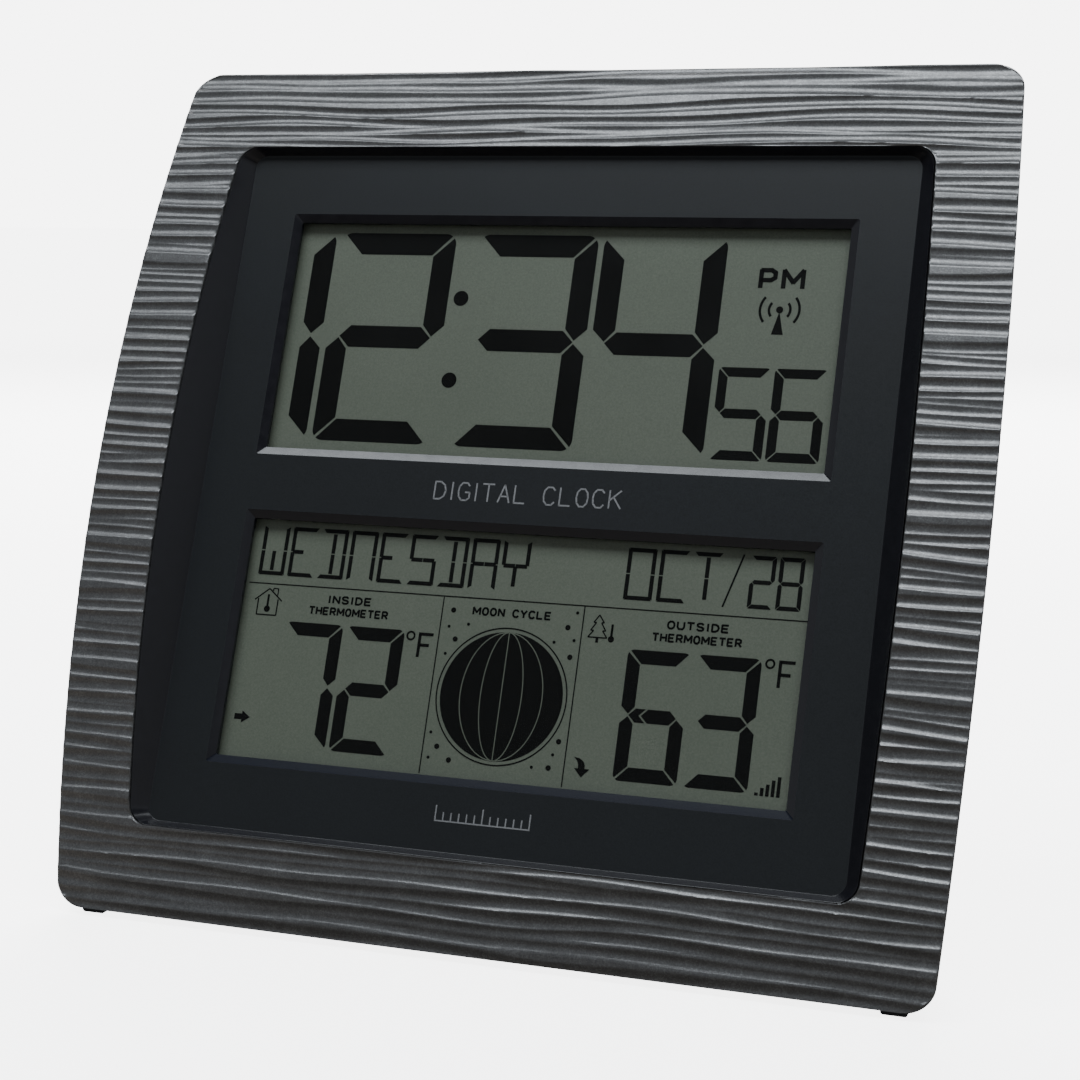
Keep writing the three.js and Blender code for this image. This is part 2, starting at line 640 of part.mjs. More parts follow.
const FINISH = {
  gunmetal: { color: 0x5a5c5d, roughness: 0.35, metalness: 0.8 },
  black: { color: 0x1e2022, roughness: 0.5, metalness: 0 },
  clear: { color: 0xdfe6e2, roughness: 0.1, metalness: 0 },
  lcd: { color: 0x565c50, roughness: 0.3, metalness: 0 },
  white: { color: 0xd8d8d4, roughness: 0.6, metalness: 0 },
  rubber: { color: 0x2b2c2d, roughness: 0.85, metalness: 0 },
  board: { color: 0x2f5a3a, roughness: 0.6, metalness: 0 },
  steel: { color: 0xa8abae, roughness: 0.35, metalness: 1 },
  copper: { color: 0xa0562c, roughness: 0.45, metalness: 1 },
  ferrite: { color: 0x37383a, roughness: 0.7, metalness: 0.2 },
  cell: { color: 0x44607a, roughness: 0.4, metalness: 0.3 },
  red: { color: 0xa02020, roughness: 0.5, metalness: 0 },
};

function add(name, body, finish, parent = upright) {
  const mesh = new THREE.Mesh(toGeometry(body), new THREE.MeshStandardMaterial(FINISH[finish]));
  mesh.name = name;
  parent.add(mesh);
  return mesh;
}

add('front_frame', frontFrame(), 'gunmetal');
add('display_bezel', displayBezel(), 'black');
add('upper_lens', lens(WINDOWS.upper), 'clear');
add('lower_lens', lens(WINDOWS.lower), 'clear');
add('upper_lcd', lcd(GLASS_Z.upper, false), 'lcd');
add('lower_lcd', lcd(GLASS_Z.lower, true), 'lcd');
add('lcd_carrier', lcdCarrier(), 'white');
add('upper_zebra_strip', zebraStrip(GLASS_Z.upper[0] + 2.9), 'rubber');
add('lower_zebra_strip', zebraStrip(GLASS_Z.lower[1] - 2.9), 'rubber');
add('main_board', mainBoard(), 'board');
const blobFront = BOARD.back + GAP;
const blobProfile = [[0, blobFront], [7, blobFront], [6.2, blobFront + 1], [0, blobFront + 1.6]];
add('chip_blob', turned(blobProfile, 20, 116), 'black');
add('crystal_can', crossBar(1.5, BOARD.back + GAP + 1.5, 130, 38, 46, 12), 'steel');
add('thermistor', thermistor(), 'black');
BUTTON_Z.forEach((z, i) => {
  add(`tact_switch_${i + 1}`, tactSwitch(z), 'black');
  add(`rear_button_${i + 1}`, button(z), 'rubber');
});
add('ferrite_rod', crossBar(ROD.radius, ROD.y, ROD.z, ROD.x0, ROD.x1, 20), 'ferrite');
add('antenna_coil', antennaCoil(), 'copper');
CRADLE_X.forEach((x, i) => add(`antenna_cradle_${i + 1}`, antennaCradle(x), 'white'));
add('time_receiver_board', radioBoard(RADIO_BOARDS.time), 'board');
add('sensor_receiver_board', radioBoard(RADIO_BOARDS.sensor), 'board');
add('helical_antenna', helicalAntenna(), 'copper');
add('rear_cover', rearCover(), 'black');
add('battery_door', batteryDoor(), 'black');
add('battery_upper', cell(CELL_Z.upper, -1), 'cell');
add('battery_lower', cell(CELL_Z.lower, 1), 'cell');
add('positive_contact', flatContact(BAY.left + GAP, 1, CELL_Z.upper), 'steel');
add('negative_spring', springContact(BAY.left + GAP, 1, CELL_Z.lower), 'steel');
add('link_contact', linkContact(), 'steel');
add('battery_lead_positive', batteryLead(CELL_Z.upper, 32, 28), 'red');
add('battery_lead_negative', batteryLead(CELL_Z.lower, 29.5, 24), 'black');
add('stand_hinge_pin', crossBar(PIN_RADIUS, HINGE.y, HINGE.z, -33.5, 33.5, 12), 'steel');
BOARD_SCREWS.forEach((at, i) => {
  add(`board_screw_${i + 1}`, screw(at, BOARD.back + GAP, 6, 0.9, 2), 'steel');
});
mirrored(EAR_Z).forEach((at, i) => {
  add(`bezel_screw_${i + 1}`, screw(at, PANEL_BACK + GAP, 5.5, 0.9, 2), 'steel');
});
COVER_SCREWS.forEach((at, i) => {
  add(`cover_screw_${i + 1}`, screw(at, COVER_HOLE.seat + GAP, 12, 1.3, 2.7), 'steel');
});

// Pieces that stand on the table are set out in the table's own frame
part.updateMatrixWorld(true);
const hinge = upright.localToWorld(new THREE.Vector3(0, HINGE.y, HINGE.z));
const leg = new THREE.Group();
leg.position.copy(hinge);
leg.rotation.x = LEG_SPLAY;
part.add(leg);
add('stand_leg', standLeg(hinge.z), 'black', leg);
const padMiddle = hinge.y + (hinge.z - LEG.pad) * Math.tan(LEG_SPLAY);
const padHalf = LEG.halfThick / Math.cos(LEG_SPLAY);
const pad = block(-PAD_HALF, PAD_HALF, padMiddle - padHalf, padMiddle + padHalf, 0, LEG.pad);
add('stand_pad', pad, 'rubber', part);
const footRow = new THREE.Group();
footRow.position.y = -halfDepth;
part.add(footRow);
add('foot_left', foot(-1), 'rubber', footRow);
add('foot_right', foot(1), 'rubber', footRow);

export default part;
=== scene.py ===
import json
import math

import bmesh
import bpy
import numpy as np
from mathutils import Matrix, Vector


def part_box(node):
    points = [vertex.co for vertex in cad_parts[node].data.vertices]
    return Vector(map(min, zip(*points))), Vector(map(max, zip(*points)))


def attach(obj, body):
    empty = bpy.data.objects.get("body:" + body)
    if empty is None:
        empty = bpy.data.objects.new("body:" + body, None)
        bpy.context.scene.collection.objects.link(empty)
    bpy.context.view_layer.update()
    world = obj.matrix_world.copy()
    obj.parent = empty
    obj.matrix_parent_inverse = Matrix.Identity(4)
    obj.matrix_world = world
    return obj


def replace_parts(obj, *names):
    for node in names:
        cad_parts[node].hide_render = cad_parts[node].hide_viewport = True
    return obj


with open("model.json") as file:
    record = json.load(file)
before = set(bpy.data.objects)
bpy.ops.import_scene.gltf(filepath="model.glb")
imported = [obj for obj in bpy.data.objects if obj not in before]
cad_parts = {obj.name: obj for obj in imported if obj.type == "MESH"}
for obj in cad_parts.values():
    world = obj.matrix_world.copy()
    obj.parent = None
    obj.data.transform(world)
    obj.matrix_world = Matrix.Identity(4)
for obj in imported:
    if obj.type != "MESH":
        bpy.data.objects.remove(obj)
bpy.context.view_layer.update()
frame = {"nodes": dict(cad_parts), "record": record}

MM = 0.001
SEED = 11

# The clock's form: heights are z, depths are y
LEAN = math.radians(22)
FACE_HALF = 112.7  # half the face's width at its upper and lower edges
FACE_HEIGHT = 228.2
MID = FACE_HEIGHT / 2
BOW = 10.5  # how far the middle of the face stands forward of its edges
BOW_RADIUS = (MID ** 2 + BOW ** 2) / (2 * BOW)
SIDE_FLARE = 0.424  # how much the side walls spread for each millimetre forward
END_FLARE = math.tan(LEAN)
FACE_CORNER = 7.0
SEAM = 14.0  # depth where the frame meets the rear cover
SHELL = 2.4  # thickness of the frame's outer wall
FRAME_FLOOR = 2.2  # depth of the flat underside behind the frame's carved face
BACK = 23.5  # depth of the rear cover's outer face
OPEN_HALF = 92.09  # the frame's opening
OPEN_LOW = 22.3
OPEN_HIGH = 205.55
OPEN_FLARE = 0.498
OPEN_CORNER = 5.0
PANEL_FRONT = -0.41  # the display panel inside the opening
PANEL_BACK = 1.59
PANEL_HALF = 90.56
PANEL_LOW = 24.0
PANEL_HIGH = 204.2
BEZEL_GAP = 0.14  # between the frame's opening and the tray's rim
BEZEL_RIM_DROP = 0.5  # from the frame's face down to the tray's rim
BEZEL_FOLD = 0.14  # radius where the tray's walls meet the panel
WINDOW_HALF = 74.4
WINDOWS = {"upper": (123.5, 185.6), "lower": (42.4, 104.4)}  # their lower and upper edges
CHAMFER_WIDTH = 2.1
CHAMFER_DEPTH = 1.0
LOWER_SILL_DEPTH = 0.78  # the lower window's lower side slopes less than the others
LCD_FRONT = 2.95  # depth of the display glasses' front

frame_low, frame_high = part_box("front_frame")
BASE = Vector((0, frame_low[1], frame_low[2]))
UPRIGHT = Matrix.Translation(BASE) @ Matrix.Rotation(-LEAN, 4, "X")
TO_ROW = np.array(UPRIGHT)


def to_row(points):
    """Points in the upright frame, in millimetres, as points in the row frame, in metres."""
    points = np.asarray(points, dtype=float) * MM
    return points @ TO_ROW[:3, :3].T + TO_ROW[:3, 3]


def bow(z):
    """How far the face stands forward of its edges at height z."""
    return np.sqrt(BOW_RADIUS ** 2 - (np.asarray(z) - MID) ** 2) - (BOW_RADIUS - BOW)


# ---------------------------------------------------------------- materials


def new_material(name):
    material = bpy.data.materials.new(name)
    material.use_nodes = True
    nodes = material.node_tree.nodes
    return material, nodes, material.node_tree.links, nodes["Principled BSDF"]


def noise(nodes, links, scale, detail=3.0, roughness=0.5):
    """Noise in object space. scale is cycles per metre."""
    coords = nodes.new("ShaderNodeTexCoord")
    texture = nodes.new("ShaderNodeTexNoise")
    texture.inputs["Scale"].default_value = scale
    texture.inputs["Detail"].default_value = detail
    texture.inputs["Roughness"].default_value = roughness
    links.new(coords.outputs["Object"], texture.inputs["Vector"])
    return texture


def blend(nodes, links, first, second, share):
    """A mix of two values, with the given share of the second."""
    node = nodes.new("ShaderNodeMix")
    node.data_type = "FLOAT"
    node.inputs[0].default_value = share
    links.new(first, node.inputs[2])
    links.new(second, node.inputs[3])
    return node.outputs[0]


def ramp(nodes, links, source, stops):
    node = nodes.new("ShaderNodeValToRGB")
    while len(node.color_ramp.elements) < len(stops):
        node.color_ramp.elements.new(0.5)
    for element, (place, colour) in zip(node.color_ramp.elements, stops):
        element.position = place
        element.color = (*colour, 1)
    links.new(source, node.inputs["Fac"])
    return node.outputs["Color"]


def spread(nodes, links, source, low, high):
    """Maps the middle of a noise to the range from low to high."""
    node = nodes.new("ShaderNodeMapRange")
    node.inputs["From Min"].default_value = 0.3
    node.inputs["From Max"].default_value = 0.7
    node.inputs["To Min"].default_value = low
    node.inputs["To Max"].default_value = high
    links.new(source, node.inputs["Value"])
    return node.outputs["Result"]


def add_bump(nodes, links, shader, source, distance, strength=1.0):
    node = nodes.new("ShaderNodeBump")
    node.inputs["Distance"].default_value = distance
    node.inputs["Strength"].default_value = strength
    links.new(source, node.inputs["Height"])
    links.new(node.outputs["Normal"], shader.inputs["Normal"])


def speckled(name, dark, light, grain, rough, metallic=0.0, bump=0.0, specular=0.5):
    """A finish whose colour and roughness vary at the given grain size, in millimetres."""
    material, nodes, links, shader = new_material(name)
    fine = noise(nodes, links, 1 / (grain * MM), detail=4.0, roughness=0.65)
    cloudy = noise(nodes, links, 22.0, detail=2.0)
    mix = blend(nodes, links, fine.outputs["Fac"], cloudy.outputs["Fac"], 0.22)
    links.new(ramp(nodes, links, mix, [(0.36, dark), (0.64, light)]), shader.inputs["Base Color"])
    links.new(spread(nodes, links, fine.outputs["Fac"], *rough), shader.inputs["Roughness"])
    shader.inputs["Metallic"].default_value = metallic
    shader.inputs["Specular IOR Level"].default_value = specular
    if bump:
        add_bump(nodes, links, shader, fine.outputs["Fac"], bump * MM)
    return material


def frame_paint():
    """Gunmetal paint: metal flakes under a satin skin."""
    material, nodes, links, shader = new_material("gunmetal_paint")
    flakes = nodes.new("ShaderNodeTexVoronoi")
    flakes.inputs["Scale"].default_value = 1 / (0.32 * MM)
    coords = nodes.new("ShaderNodeTexCoord")
    links.new(coords.outputs["Object"], flakes.inputs["Vector"])
    tone = nodes.new("ShaderNodeSeparateColor")
    links.new(flakes.outputs["Color"], tone.inputs["Color"])
    cloudy = noise(nodes, links, 160.0, detail=4.0)
    mix = blend(nodes, links, cloudy.outputs["Fac"], tone.outputs["Red"], 0.45)
    stops = [(0.2, (0.12, 0.12, 0.121)), (0.6, (0.165, 0.166, 0.168)), (0.9, (0.235, 0.237, 0.241))]
    links.new(ramp(nodes, links, mix, stops), shader.inputs["Base Color"])
    links.new(spread(nodes, links, tone.outputs["Green"], 0.35, 0.44), shader.inputs["Roughness"])
    shader.inputs["Metallic"].default_value = 0.85
    add_bump(nodes, links, shader, flakes.outputs["Distance"], 0.012 * MM, 0.5)
    return material


def clear_window():
    """Thin clear plastic: a weak blurred reflection over what lies behind it."""
    material, nodes, links, shader = new_material("clear_window")
    shader.inputs["Base Color"].default_value = (0.9, 0.92, 0.95, 1)
    shader.inputs["Metallic"].default_value = 1.0
    wear = noise(nodes, links, 60.0)
    links.new(spread(nodes, links, wear.outputs["Fac"], 0.26, 0.34), shader.inputs["Roughness"])
    shader.inputs["Alpha"].default_value = 0.006
    material.surface_render_method = "BLENDED"
    return material


MATERIALS = {
    "frame_finish": frame_paint(),
    "clear_window": clear_window(),
}
# Name, finish's name, dark and light colour, grain in millimetres, roughness range, and the rest
FINISHES = (
    ("bezel_black", "bezel_satin", (0.0024, 0.0038, 0.0052), (0.0064, 0.0088, 0.0116), 0.4, (0.36, 0.46),
     {"bump": 0.012}),
    ("bezel_gloss", "bezel_smooth", (0.006, 0.006, 0.0088), (0.009, 0.009, 0.0125), 3.0, (0.16, 0.24), {}),
    # The lower sill's copy of the bezel's black: its lighter bluish colour is a painted reflection
    ("bezel_sill", "bezel_sill_painted_reflection", (0.0075, 0.0095, 0.0165), (0.0095, 0.012, 0.02), 3.0, (0.3, 0.38),
     {"specular": 0.1}),
    ("print", "panel_print", (0.16, 0.165, 0.175), (0.24, 0.245, 0.255), 0.5, (0.5, 0.65), {}),
    ("lcd_glass", "lcd_field", (0.1, 0.118, 0.09), (0.135, 0.153, 0.12), 0.5, (0.45, 0.6),
     {"specular": 0.25}),
    ("lcd_ink", "lcd_ink", (0.0028, 0.003, 0.0026), (0.0038, 0.0041, 0.0035), 0.6, (0.5, 0.6),
     {"specular": 0.04}),
    ("carrier_white", "carrier_plastic", (0.6, 0.6, 0.57), (0.7, 0.7, 0.67), 0.8, (0.45, 0.6), {}),
    ("connector_rubber", "connector_rubber", (0.02,) * 3, (0.05,) * 3, 0.4, (0.7, 0.9), {}),
    ("circuit_board", "solder_mask", (0.015, 0.07, 0.03), (0.03, 0.11, 0.05), 1.2, (0.3, 0.5), {}),
    ("dark_component", "moulded_component", (0.012, 0.012, 0.013), (0.03, 0.03, 0.03), 0.3, (0.5, 0.7), {}),
    ("steel", "plated_steel", (0.5, 0.5, 0.51), (0.66, 0.66, 0.67), 0.25, (0.22, 0.4), {"metallic": 1.0}),
    ("ferrite", "ferrite", (0.03, 0.031, 0.034), (0.06, 0.06, 0.065), 0.3, (0.6, 0.8), {"bump": 0.02}),
    ("copper_wire", "enamelled_copper", (0.4, 0.14, 0.05), (0.55, 0.22, 0.09), 0.3, (0.3, 0.45),
     {"metallic": 0.9}),
    ("case_black", "case_texture", (0.024, 0.025, 0.028), (0.042, 0.043, 0.047), 0.3, (0.48, 0.64),
     {"bump": 0.05}),
    ("label_paper", "label_paper", (0.42, 0.42, 0.41), (0.5, 0.5, 0.49), 0.6, (0.5, 0.65), {}),
    ("battery_can", "battery_label", (0.03, 0.09, 0.18), (0.05, 0.12, 0.22), 1.5, (0.25, 0.35), {}),
    ("red_insulation", "red_insulation", (0.35, 0.015, 0.015), (0.5, 0.03, 0.03), 0.6, (0.4, 0.55), {}),
    ("black_insulation", "black_insulation", (0.01,) * 3, (0.02,) * 3, 0.6, (0.4, 0.55), {}),
    ("foot_rubber", "foot_rubber", (0.032, 0.034, 0.036), (0.06, 0.062, 0.065), 0.35, (0.7, 0.9),
     {"bump": 0.03}),
    ("button_rubber", "button_rubber", (0.03, 0.032, 0.035), (0.06, 0.062, 0.066), 0.3, (0.6, 0.8),
     {"bump": 0.02}),
)
for key, *finish, extra in FINISHES:
    MATERIALS[key] = speckled(*finish, **extra)

for entry in frame["record"]["subparts"]:
    node = frame["nodes"][entry["node"]]
    node.data.materials.clear()
    node.data.materials.append(MATERIALS[entry["material_slot"]])


# ---------------------------------------------------------------- making pieces


def make_piece(name, mesh, slot, body="clock", material=None, crease=math.radians(32)):
    """Adds a finished mesh, already in the row frame, as a piece of the object."""
    mesh.materials.append(material or MATERIALS[slot])
    work = bmesh.new()
    work.from_mesh(mesh)
    loose = [vertex for vertex in work.verts if not vertex.link_faces]
    bmesh.ops.delete(work, geom=loose, context="VERTS")
    bmesh.ops.recalc_face_normals(work, faces=work.faces)
    for face in work.faces:
        face.smooth = True
    for edge in work.edges:
        edge.smooth = len(edge.link_faces) == 2 and edge.calc_face_angle(0) < crease
    work.to_mesh(mesh)
    work.free()
    piece = bpy.data.objects.new(name, mesh)
    bpy.context.scene.collection.objects.link(piece)
    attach(piece, body)
    return piece


def mesh_of(name, points, faces):
    """A mesh from points in the upright frame."""
    mesh = bpy.data.meshes.new(name)
    mesh.from_pydata(to_row(points).tolist(), [], faces)
    return mesh


class Rings:
    """Collects closed rows of points, and the faces between a row and the one before it."""

    def __init__(self, points=(), faces=()):
        self.rows = [points] if len(points) else []
        self.total = len(points)
        self.faces = list(faces)

    def add(self, ring, previous=None):
        """Adds a row, joins it to the previous one if there is one, and returns its point numbers."""
        numbers = list(range(self.total, self.total + len(ring)))
        self.rows.append(ring)
        self.total += len(ring)
        if previous:
            following = numbers[1:] + numbers[:1]
            beyond = previous[1:] + previous[:1]
            self.faces += zip(previous, beyond, following, numbers)
        return numbers

    def mesh(self, name):
        return mesh_of(name, np.concatenate(self.rows), self.faces)


def anticlockwise(shape):
    """The outline's points as a list that runs anticlockwise in x and z."""
    shape = list(shape)
    area = sum(a[0] * b[1] - b[0] * a[1] for a, b in zip(shape, shape[1:] + shape[:1]))
    return shape[::-1] if area < 0 else shape


# ---------------------------------------------------------------- front frame

FLUTE_PITCH = 2.7  # mean distance between flutes
FLUTE_CAP = 0.7  # depth of the deepest carving
OUTER_ROUND = 0.7  # radius of the face's outer edge
INNER_ROUND = 0.45  # radius of the opening's edge
ROW_STEP = 0.24  # the grid's spacing, and its columns at the sides and between them
SIDE_COLUMNS = 26
MIDDLE_COLUMNS = 150
CORNER_ROWS = 22


def wander(rng, x, reach, longest):
    """A smooth random line: slow waves of random phase."""
    total = np.zeros_like(x)
    for wave in (1.0, 0.53, 0.31):
        angle = 2 * math.pi * x / (longest * wave * rng.uniform(0.8, 1.25)) + rng.uniform(0, 2 * math.pi)
        total += reach * wave * np.sin(angle)
    return total


def flute_depth(x, z):
    """Depth of the face's carving: shallow round flutes meeting at sharp ridges, as a gouge cuts them."""
    rng = np.random.RandomState(SEED)
    surface = np.full(x.shape, FLUTE_CAP)
    shared = wander(rng, x, 0.45, 260.0)
    height = -3 * FLUTE_PITCH
    while height < FACE_HEIGHT + 6 * FLUTE_PITCH:
        centre = height + shared + wander(rng, x, 0.66, 185.0)
        shallow = 0.1 + wander(rng, x, 0.07, 100.0)
        radius = rng.uniform(1.6, 2.8)
        cut = (z - centre) ** 2 / (2 * radius) + np.maximum(shallow, 0)
        surface = np.minimum(surface, cut)
        height += FLUTE_PITCH * rng.uniform(0.4, 1.6)
    return FLUTE_CAP - surface


def rounded_half(z, half, low, high, corner):
    """Half width at height z of an upright rounded rectangle."""
    over = np.maximum(np.maximum(low + corner - z, z - (high - corner)), 0)
    over = np.minimum(over, corner)
    return half - corner + np.sqrt(corner ** 2 - over ** 2)


def face_rows():
    """Heights of the rows of the face's grid: closer where an outline turns a corner."""
    turn = np.sin(np.linspace(0, math.pi / 2, CORNER_ROWS))
    anchors = [
        FACE_CORNER * (1 - turn[::-1]),
        OPEN_LOW + OPEN_CORNER * (1 - turn[::-1]),
        OPEN_HIGH - OPEN_CORNER * (1 - turn),
        FACE_HEIGHT - FACE_CORNER * (1 - turn),
    ]
    rows = list(anchors[0])
    for before, after in zip(anchors[:-1], anchors[1:]):
        gap = after[0] - before[-1]
        steps = max(2, round(gap / ROW_STEP))
        rows += list(before[-1] + gap * np.arange(1, steps) / steps)
        rows += list(after)
    return np.array(rows)


def outer_half(z):
    """Half width of the face's outline at height z."""
    forward = bow(z)
    base = MID + (z - MID) / (1 + END_FLARE * forward / MID)
    half = rounded_half(base, FACE_HALF, 0, FACE_HEIGHT, FACE_CORNER)
    return half * (1 + SIDE_FLARE * forward / FACE_HALF)


def outline_normal(x, z, half, low, high, corner):
    """Outward direction, in x and z, of a rounded rectangle at one of its points."""
    dx = np.sign(x) * np.maximum(np.abs(x) - (half - corner), 0)
    dz = np.where(z < MID, -1, 1) * np.maximum(np.maximum(low + corner - z, z - (high - corner)), 0)
    length = np.maximum(np.hypot(dx, dz), 1e-9)
    return dx / length, dz / length


def border(grid):
    """The numbers round a grid's border, from the start of its lowest row."""
    return np.concatenate([grid[0], grid[1:, -1], grid[-1, -2::-1], grid[-2:0:-1, 0]]).tolist()


def carved_face():
    """The carved front as a grid, its outer and inner loops, and every grid point's true x, z and depth."""
    rows = face_rows()
    outer = outer_half(rows)
    clamped = np.clip(rows, OPEN_LOW, OPEN_HIGH)
    inner = rounded_half(clamped, OPEN_HALF, OPEN_LOW, OPEN_HIGH, OPEN_CORNER)
    inner = inner * (1 + OPEN_FLARE * bow(clamped) / OPEN_HALF)
    side = np.linspace(0, 1, SIDE_COLUMNS + 1)
    across = np.linspace(-1, 1, MIDDLE_COLUMNS + 1)[1:-1]
    left = -outer[:, None] + (outer - inner)[:, None] * side
    x = np.concatenate([left, inner[:, None] * across, -left[:, ::-1]], axis=1)
    z = np.repeat(rows[:, None], x.shape[1], axis=1)
    first_inner = SIDE_COLUMNS
    last_inner = x.shape[1] - 1 - SIDE_COLUMNS
    low_row = int(np.argmin(np.abs(rows - OPEN_LOW)))
    high_row = int(np.argmin(np.abs(rows - OPEN_HIGH)))

    # Pull the grid back from both outlines to leave room for their rounded edges
    face_x = x.copy()
    between = (outer - inner)[:, None] - OUTER_ROUND - INNER_ROUND
    face_x[:, :first_inner + 1] = -outer[:, None] + OUTER_ROUND + between * side
    face_x[:, last_inner:] = -face_x[:, :first_inner + 1][:, ::-1]
    depth = flute_depth(face_x, z)
    points = np.stack([face_x, -bow(z) + depth, z], axis=-1).reshape(-1, 3)

    grid = np.arange(x.size).reshape(x.shape)
    filled = np.ones((x.shape[0] - 1, x.shape[1] - 1), dtype=bool)
    filled[low_row:high_row, first_inner:last_inner] = False
    corner = grid[:-1, :-1][filled]
    above = corner + x.shape[1]
    faces = np.stack([corner, corner + 1, above + 1, above], axis=-1).tolist()
    outer_loop = border(grid)
    inner_loop = border(grid[low_row:high_row + 1, first_inner:last_inner + 1])
    return points, faces, outer_loop, inner_loop, x.reshape(-1), z.reshape(-1), depth.reshape(-1)


def edge_rings(loop, true_x, true_z, depth, normal_x, normal_z, radius, turns=5):
    """Rounds the face over at one of its outlines. Returns the new rows of points."""
    rings = []
    base_y = -bow(true_z[loop])
    sink = depth[loop]
    for step in range(1, turns + 1):
        angle = math.pi / 2 * step / turns
        inset = radius * (1 - math.sin(angle))
        drop = radius * (1 - math.cos(angle)) + sink * math.cos(angle) ** 1.5
        rings.append(np.stack([
            true_x[loop] - normal_x * inset,
            base_y + drop,
            true_z[loop] - normal_z * inset,
        ], axis=-1))
    return rings


def front_frame_piece():
    """The frame with its carved face, flared walls and flat underside."""
    points, faces, outer_loop, inner_loop, true_x, true_z, depth = carved_face()
    rings = Rings(points, faces)

    # Outer outline: round edge, flared wall back to the seam, and the wall's inner side
    loop = outer_loop
    forward = bow(true_z[loop])
    base_x = true_x[loop] / (1 + SIDE_FLARE * forward / FACE_HALF)
    base_z = MID + (true_z[loop] - MID) / (1 + END_FLARE * forward / MID)
    normal_x, normal_z = outline_normal(base_x, base_z, FACE_HALF, 0, FACE_HEIGHT, FACE_CORNER)
    numbers = outer_loop
    for ring in edge_rings(loop, true_x, true_z, depth, normal_x, normal_z, OUTER_ROUND):
        numbers = rings.add(ring, numbers)

    def outer_ring(inset, y):
        y = np.broadcast_to(y, base_x.shape)
        ring_x = (base_x - normal_x * inset) * (1 - SIDE_FLARE * y / FACE_HALF)
        ring_z = MID + (base_z - normal_z * inset - MID) * (1 - END_FLARE * y / MID)
        return np.stack([ring_x, y, ring_z], axis=-1)

    for inset, y in ((0, SEAM - 0.5), (0.35, SEAM), (SHELL, SEAM), (SHELL, FRAME_FLOOR)):
        numbers = rings.add(outer_ring(inset, y), numbers)
    outer_floor = numbers

    # Opening: round edge and the wall down to the floor
    loop = inner_loop
    open_x = true_x[loop] / (1 + OPEN_FLARE * bow(true_z[loop]) / OPEN_HALF)
    in_x, in_z = outline_normal(open_x, true_z[loop], OPEN_HALF, OPEN_LOW, OPEN_HIGH, OPEN_CORNER)
    numbers = inner_loop
    for ring in edge_rings(loop, true_x, true_z, depth, -in_x, -in_z, INNER_ROUND):
        numbers = rings.add(ring, numbers)
    floor_x = open_x * (1 - OPEN_FLARE * FRAME_FLOOR / OPEN_HALF)
    floor_ring = np.stack([floor_x, np.full(len(loop), FRAME_FLOOR), true_z[loop]], axis=-1)
    inner_floor = rings.add(floor_ring, numbers)

    mesh = rings.mesh("front_frame_relief")
    close_between(mesh, outer_floor, inner_floor)
    return make_piece("front_frame_relief", mesh, "frame_finish", crease=math.radians(60))


def close_between(mesh, *loops):
    """Fills the flat space between closed rows of points."""
    work = bmesh.new()
    work.from_mesh(mesh)
    work.verts.ensure_lookup_table()
    edges = []
    for loop in loops:
        for a, b in zip(loop, loop[1:] + loop[:1]):
            edge = work.edges.get((work.verts[a], work.verts[b]))
            edges.append(edge or work.edges.new((work.verts[a], work.verts[b])))
    bmesh.ops.triangle_fill(work, edges=edges, use_beauty=True)
    work.to_mesh(mesh)
    work.free()


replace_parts(front_frame_piece(), "front_frame")


# ---------------------------------------------------------------- display bezel


def rounded_outline(half, low, high, corner, turn_steps=10, side_steps=1):
    """Points of a rounded rectangle, anticlockwise seen from the front, with its sides divided."""
    centres = [(half - corner, low + corner, -90), (half - corner, high - corner, 0),
               (corner - half, high - corner, 90), (corner - half, low + corner, 180)]
    outline = []
    for (cx, cz, start), (nx, nz, _) in zip(centres, centres[1:] + centres[:1]):
        for step in range(turn_steps + 1):
            angle = math.radians(start + 90 * step / turn_steps)
            outline.append((cx + corner * math.cos(angle), cz + corner * math.sin(angle)))
        angle = math.radians(start + 90)
        begin = np.array(outline[-1])
        finish = np.array((nx + corner * math.cos(angle), nz + corner * math.sin(angle)))
        for step in range(1, side_steps):
            outline.append(tuple(begin + (finish - begin) * step / side_steps))
    return np.array(outline)


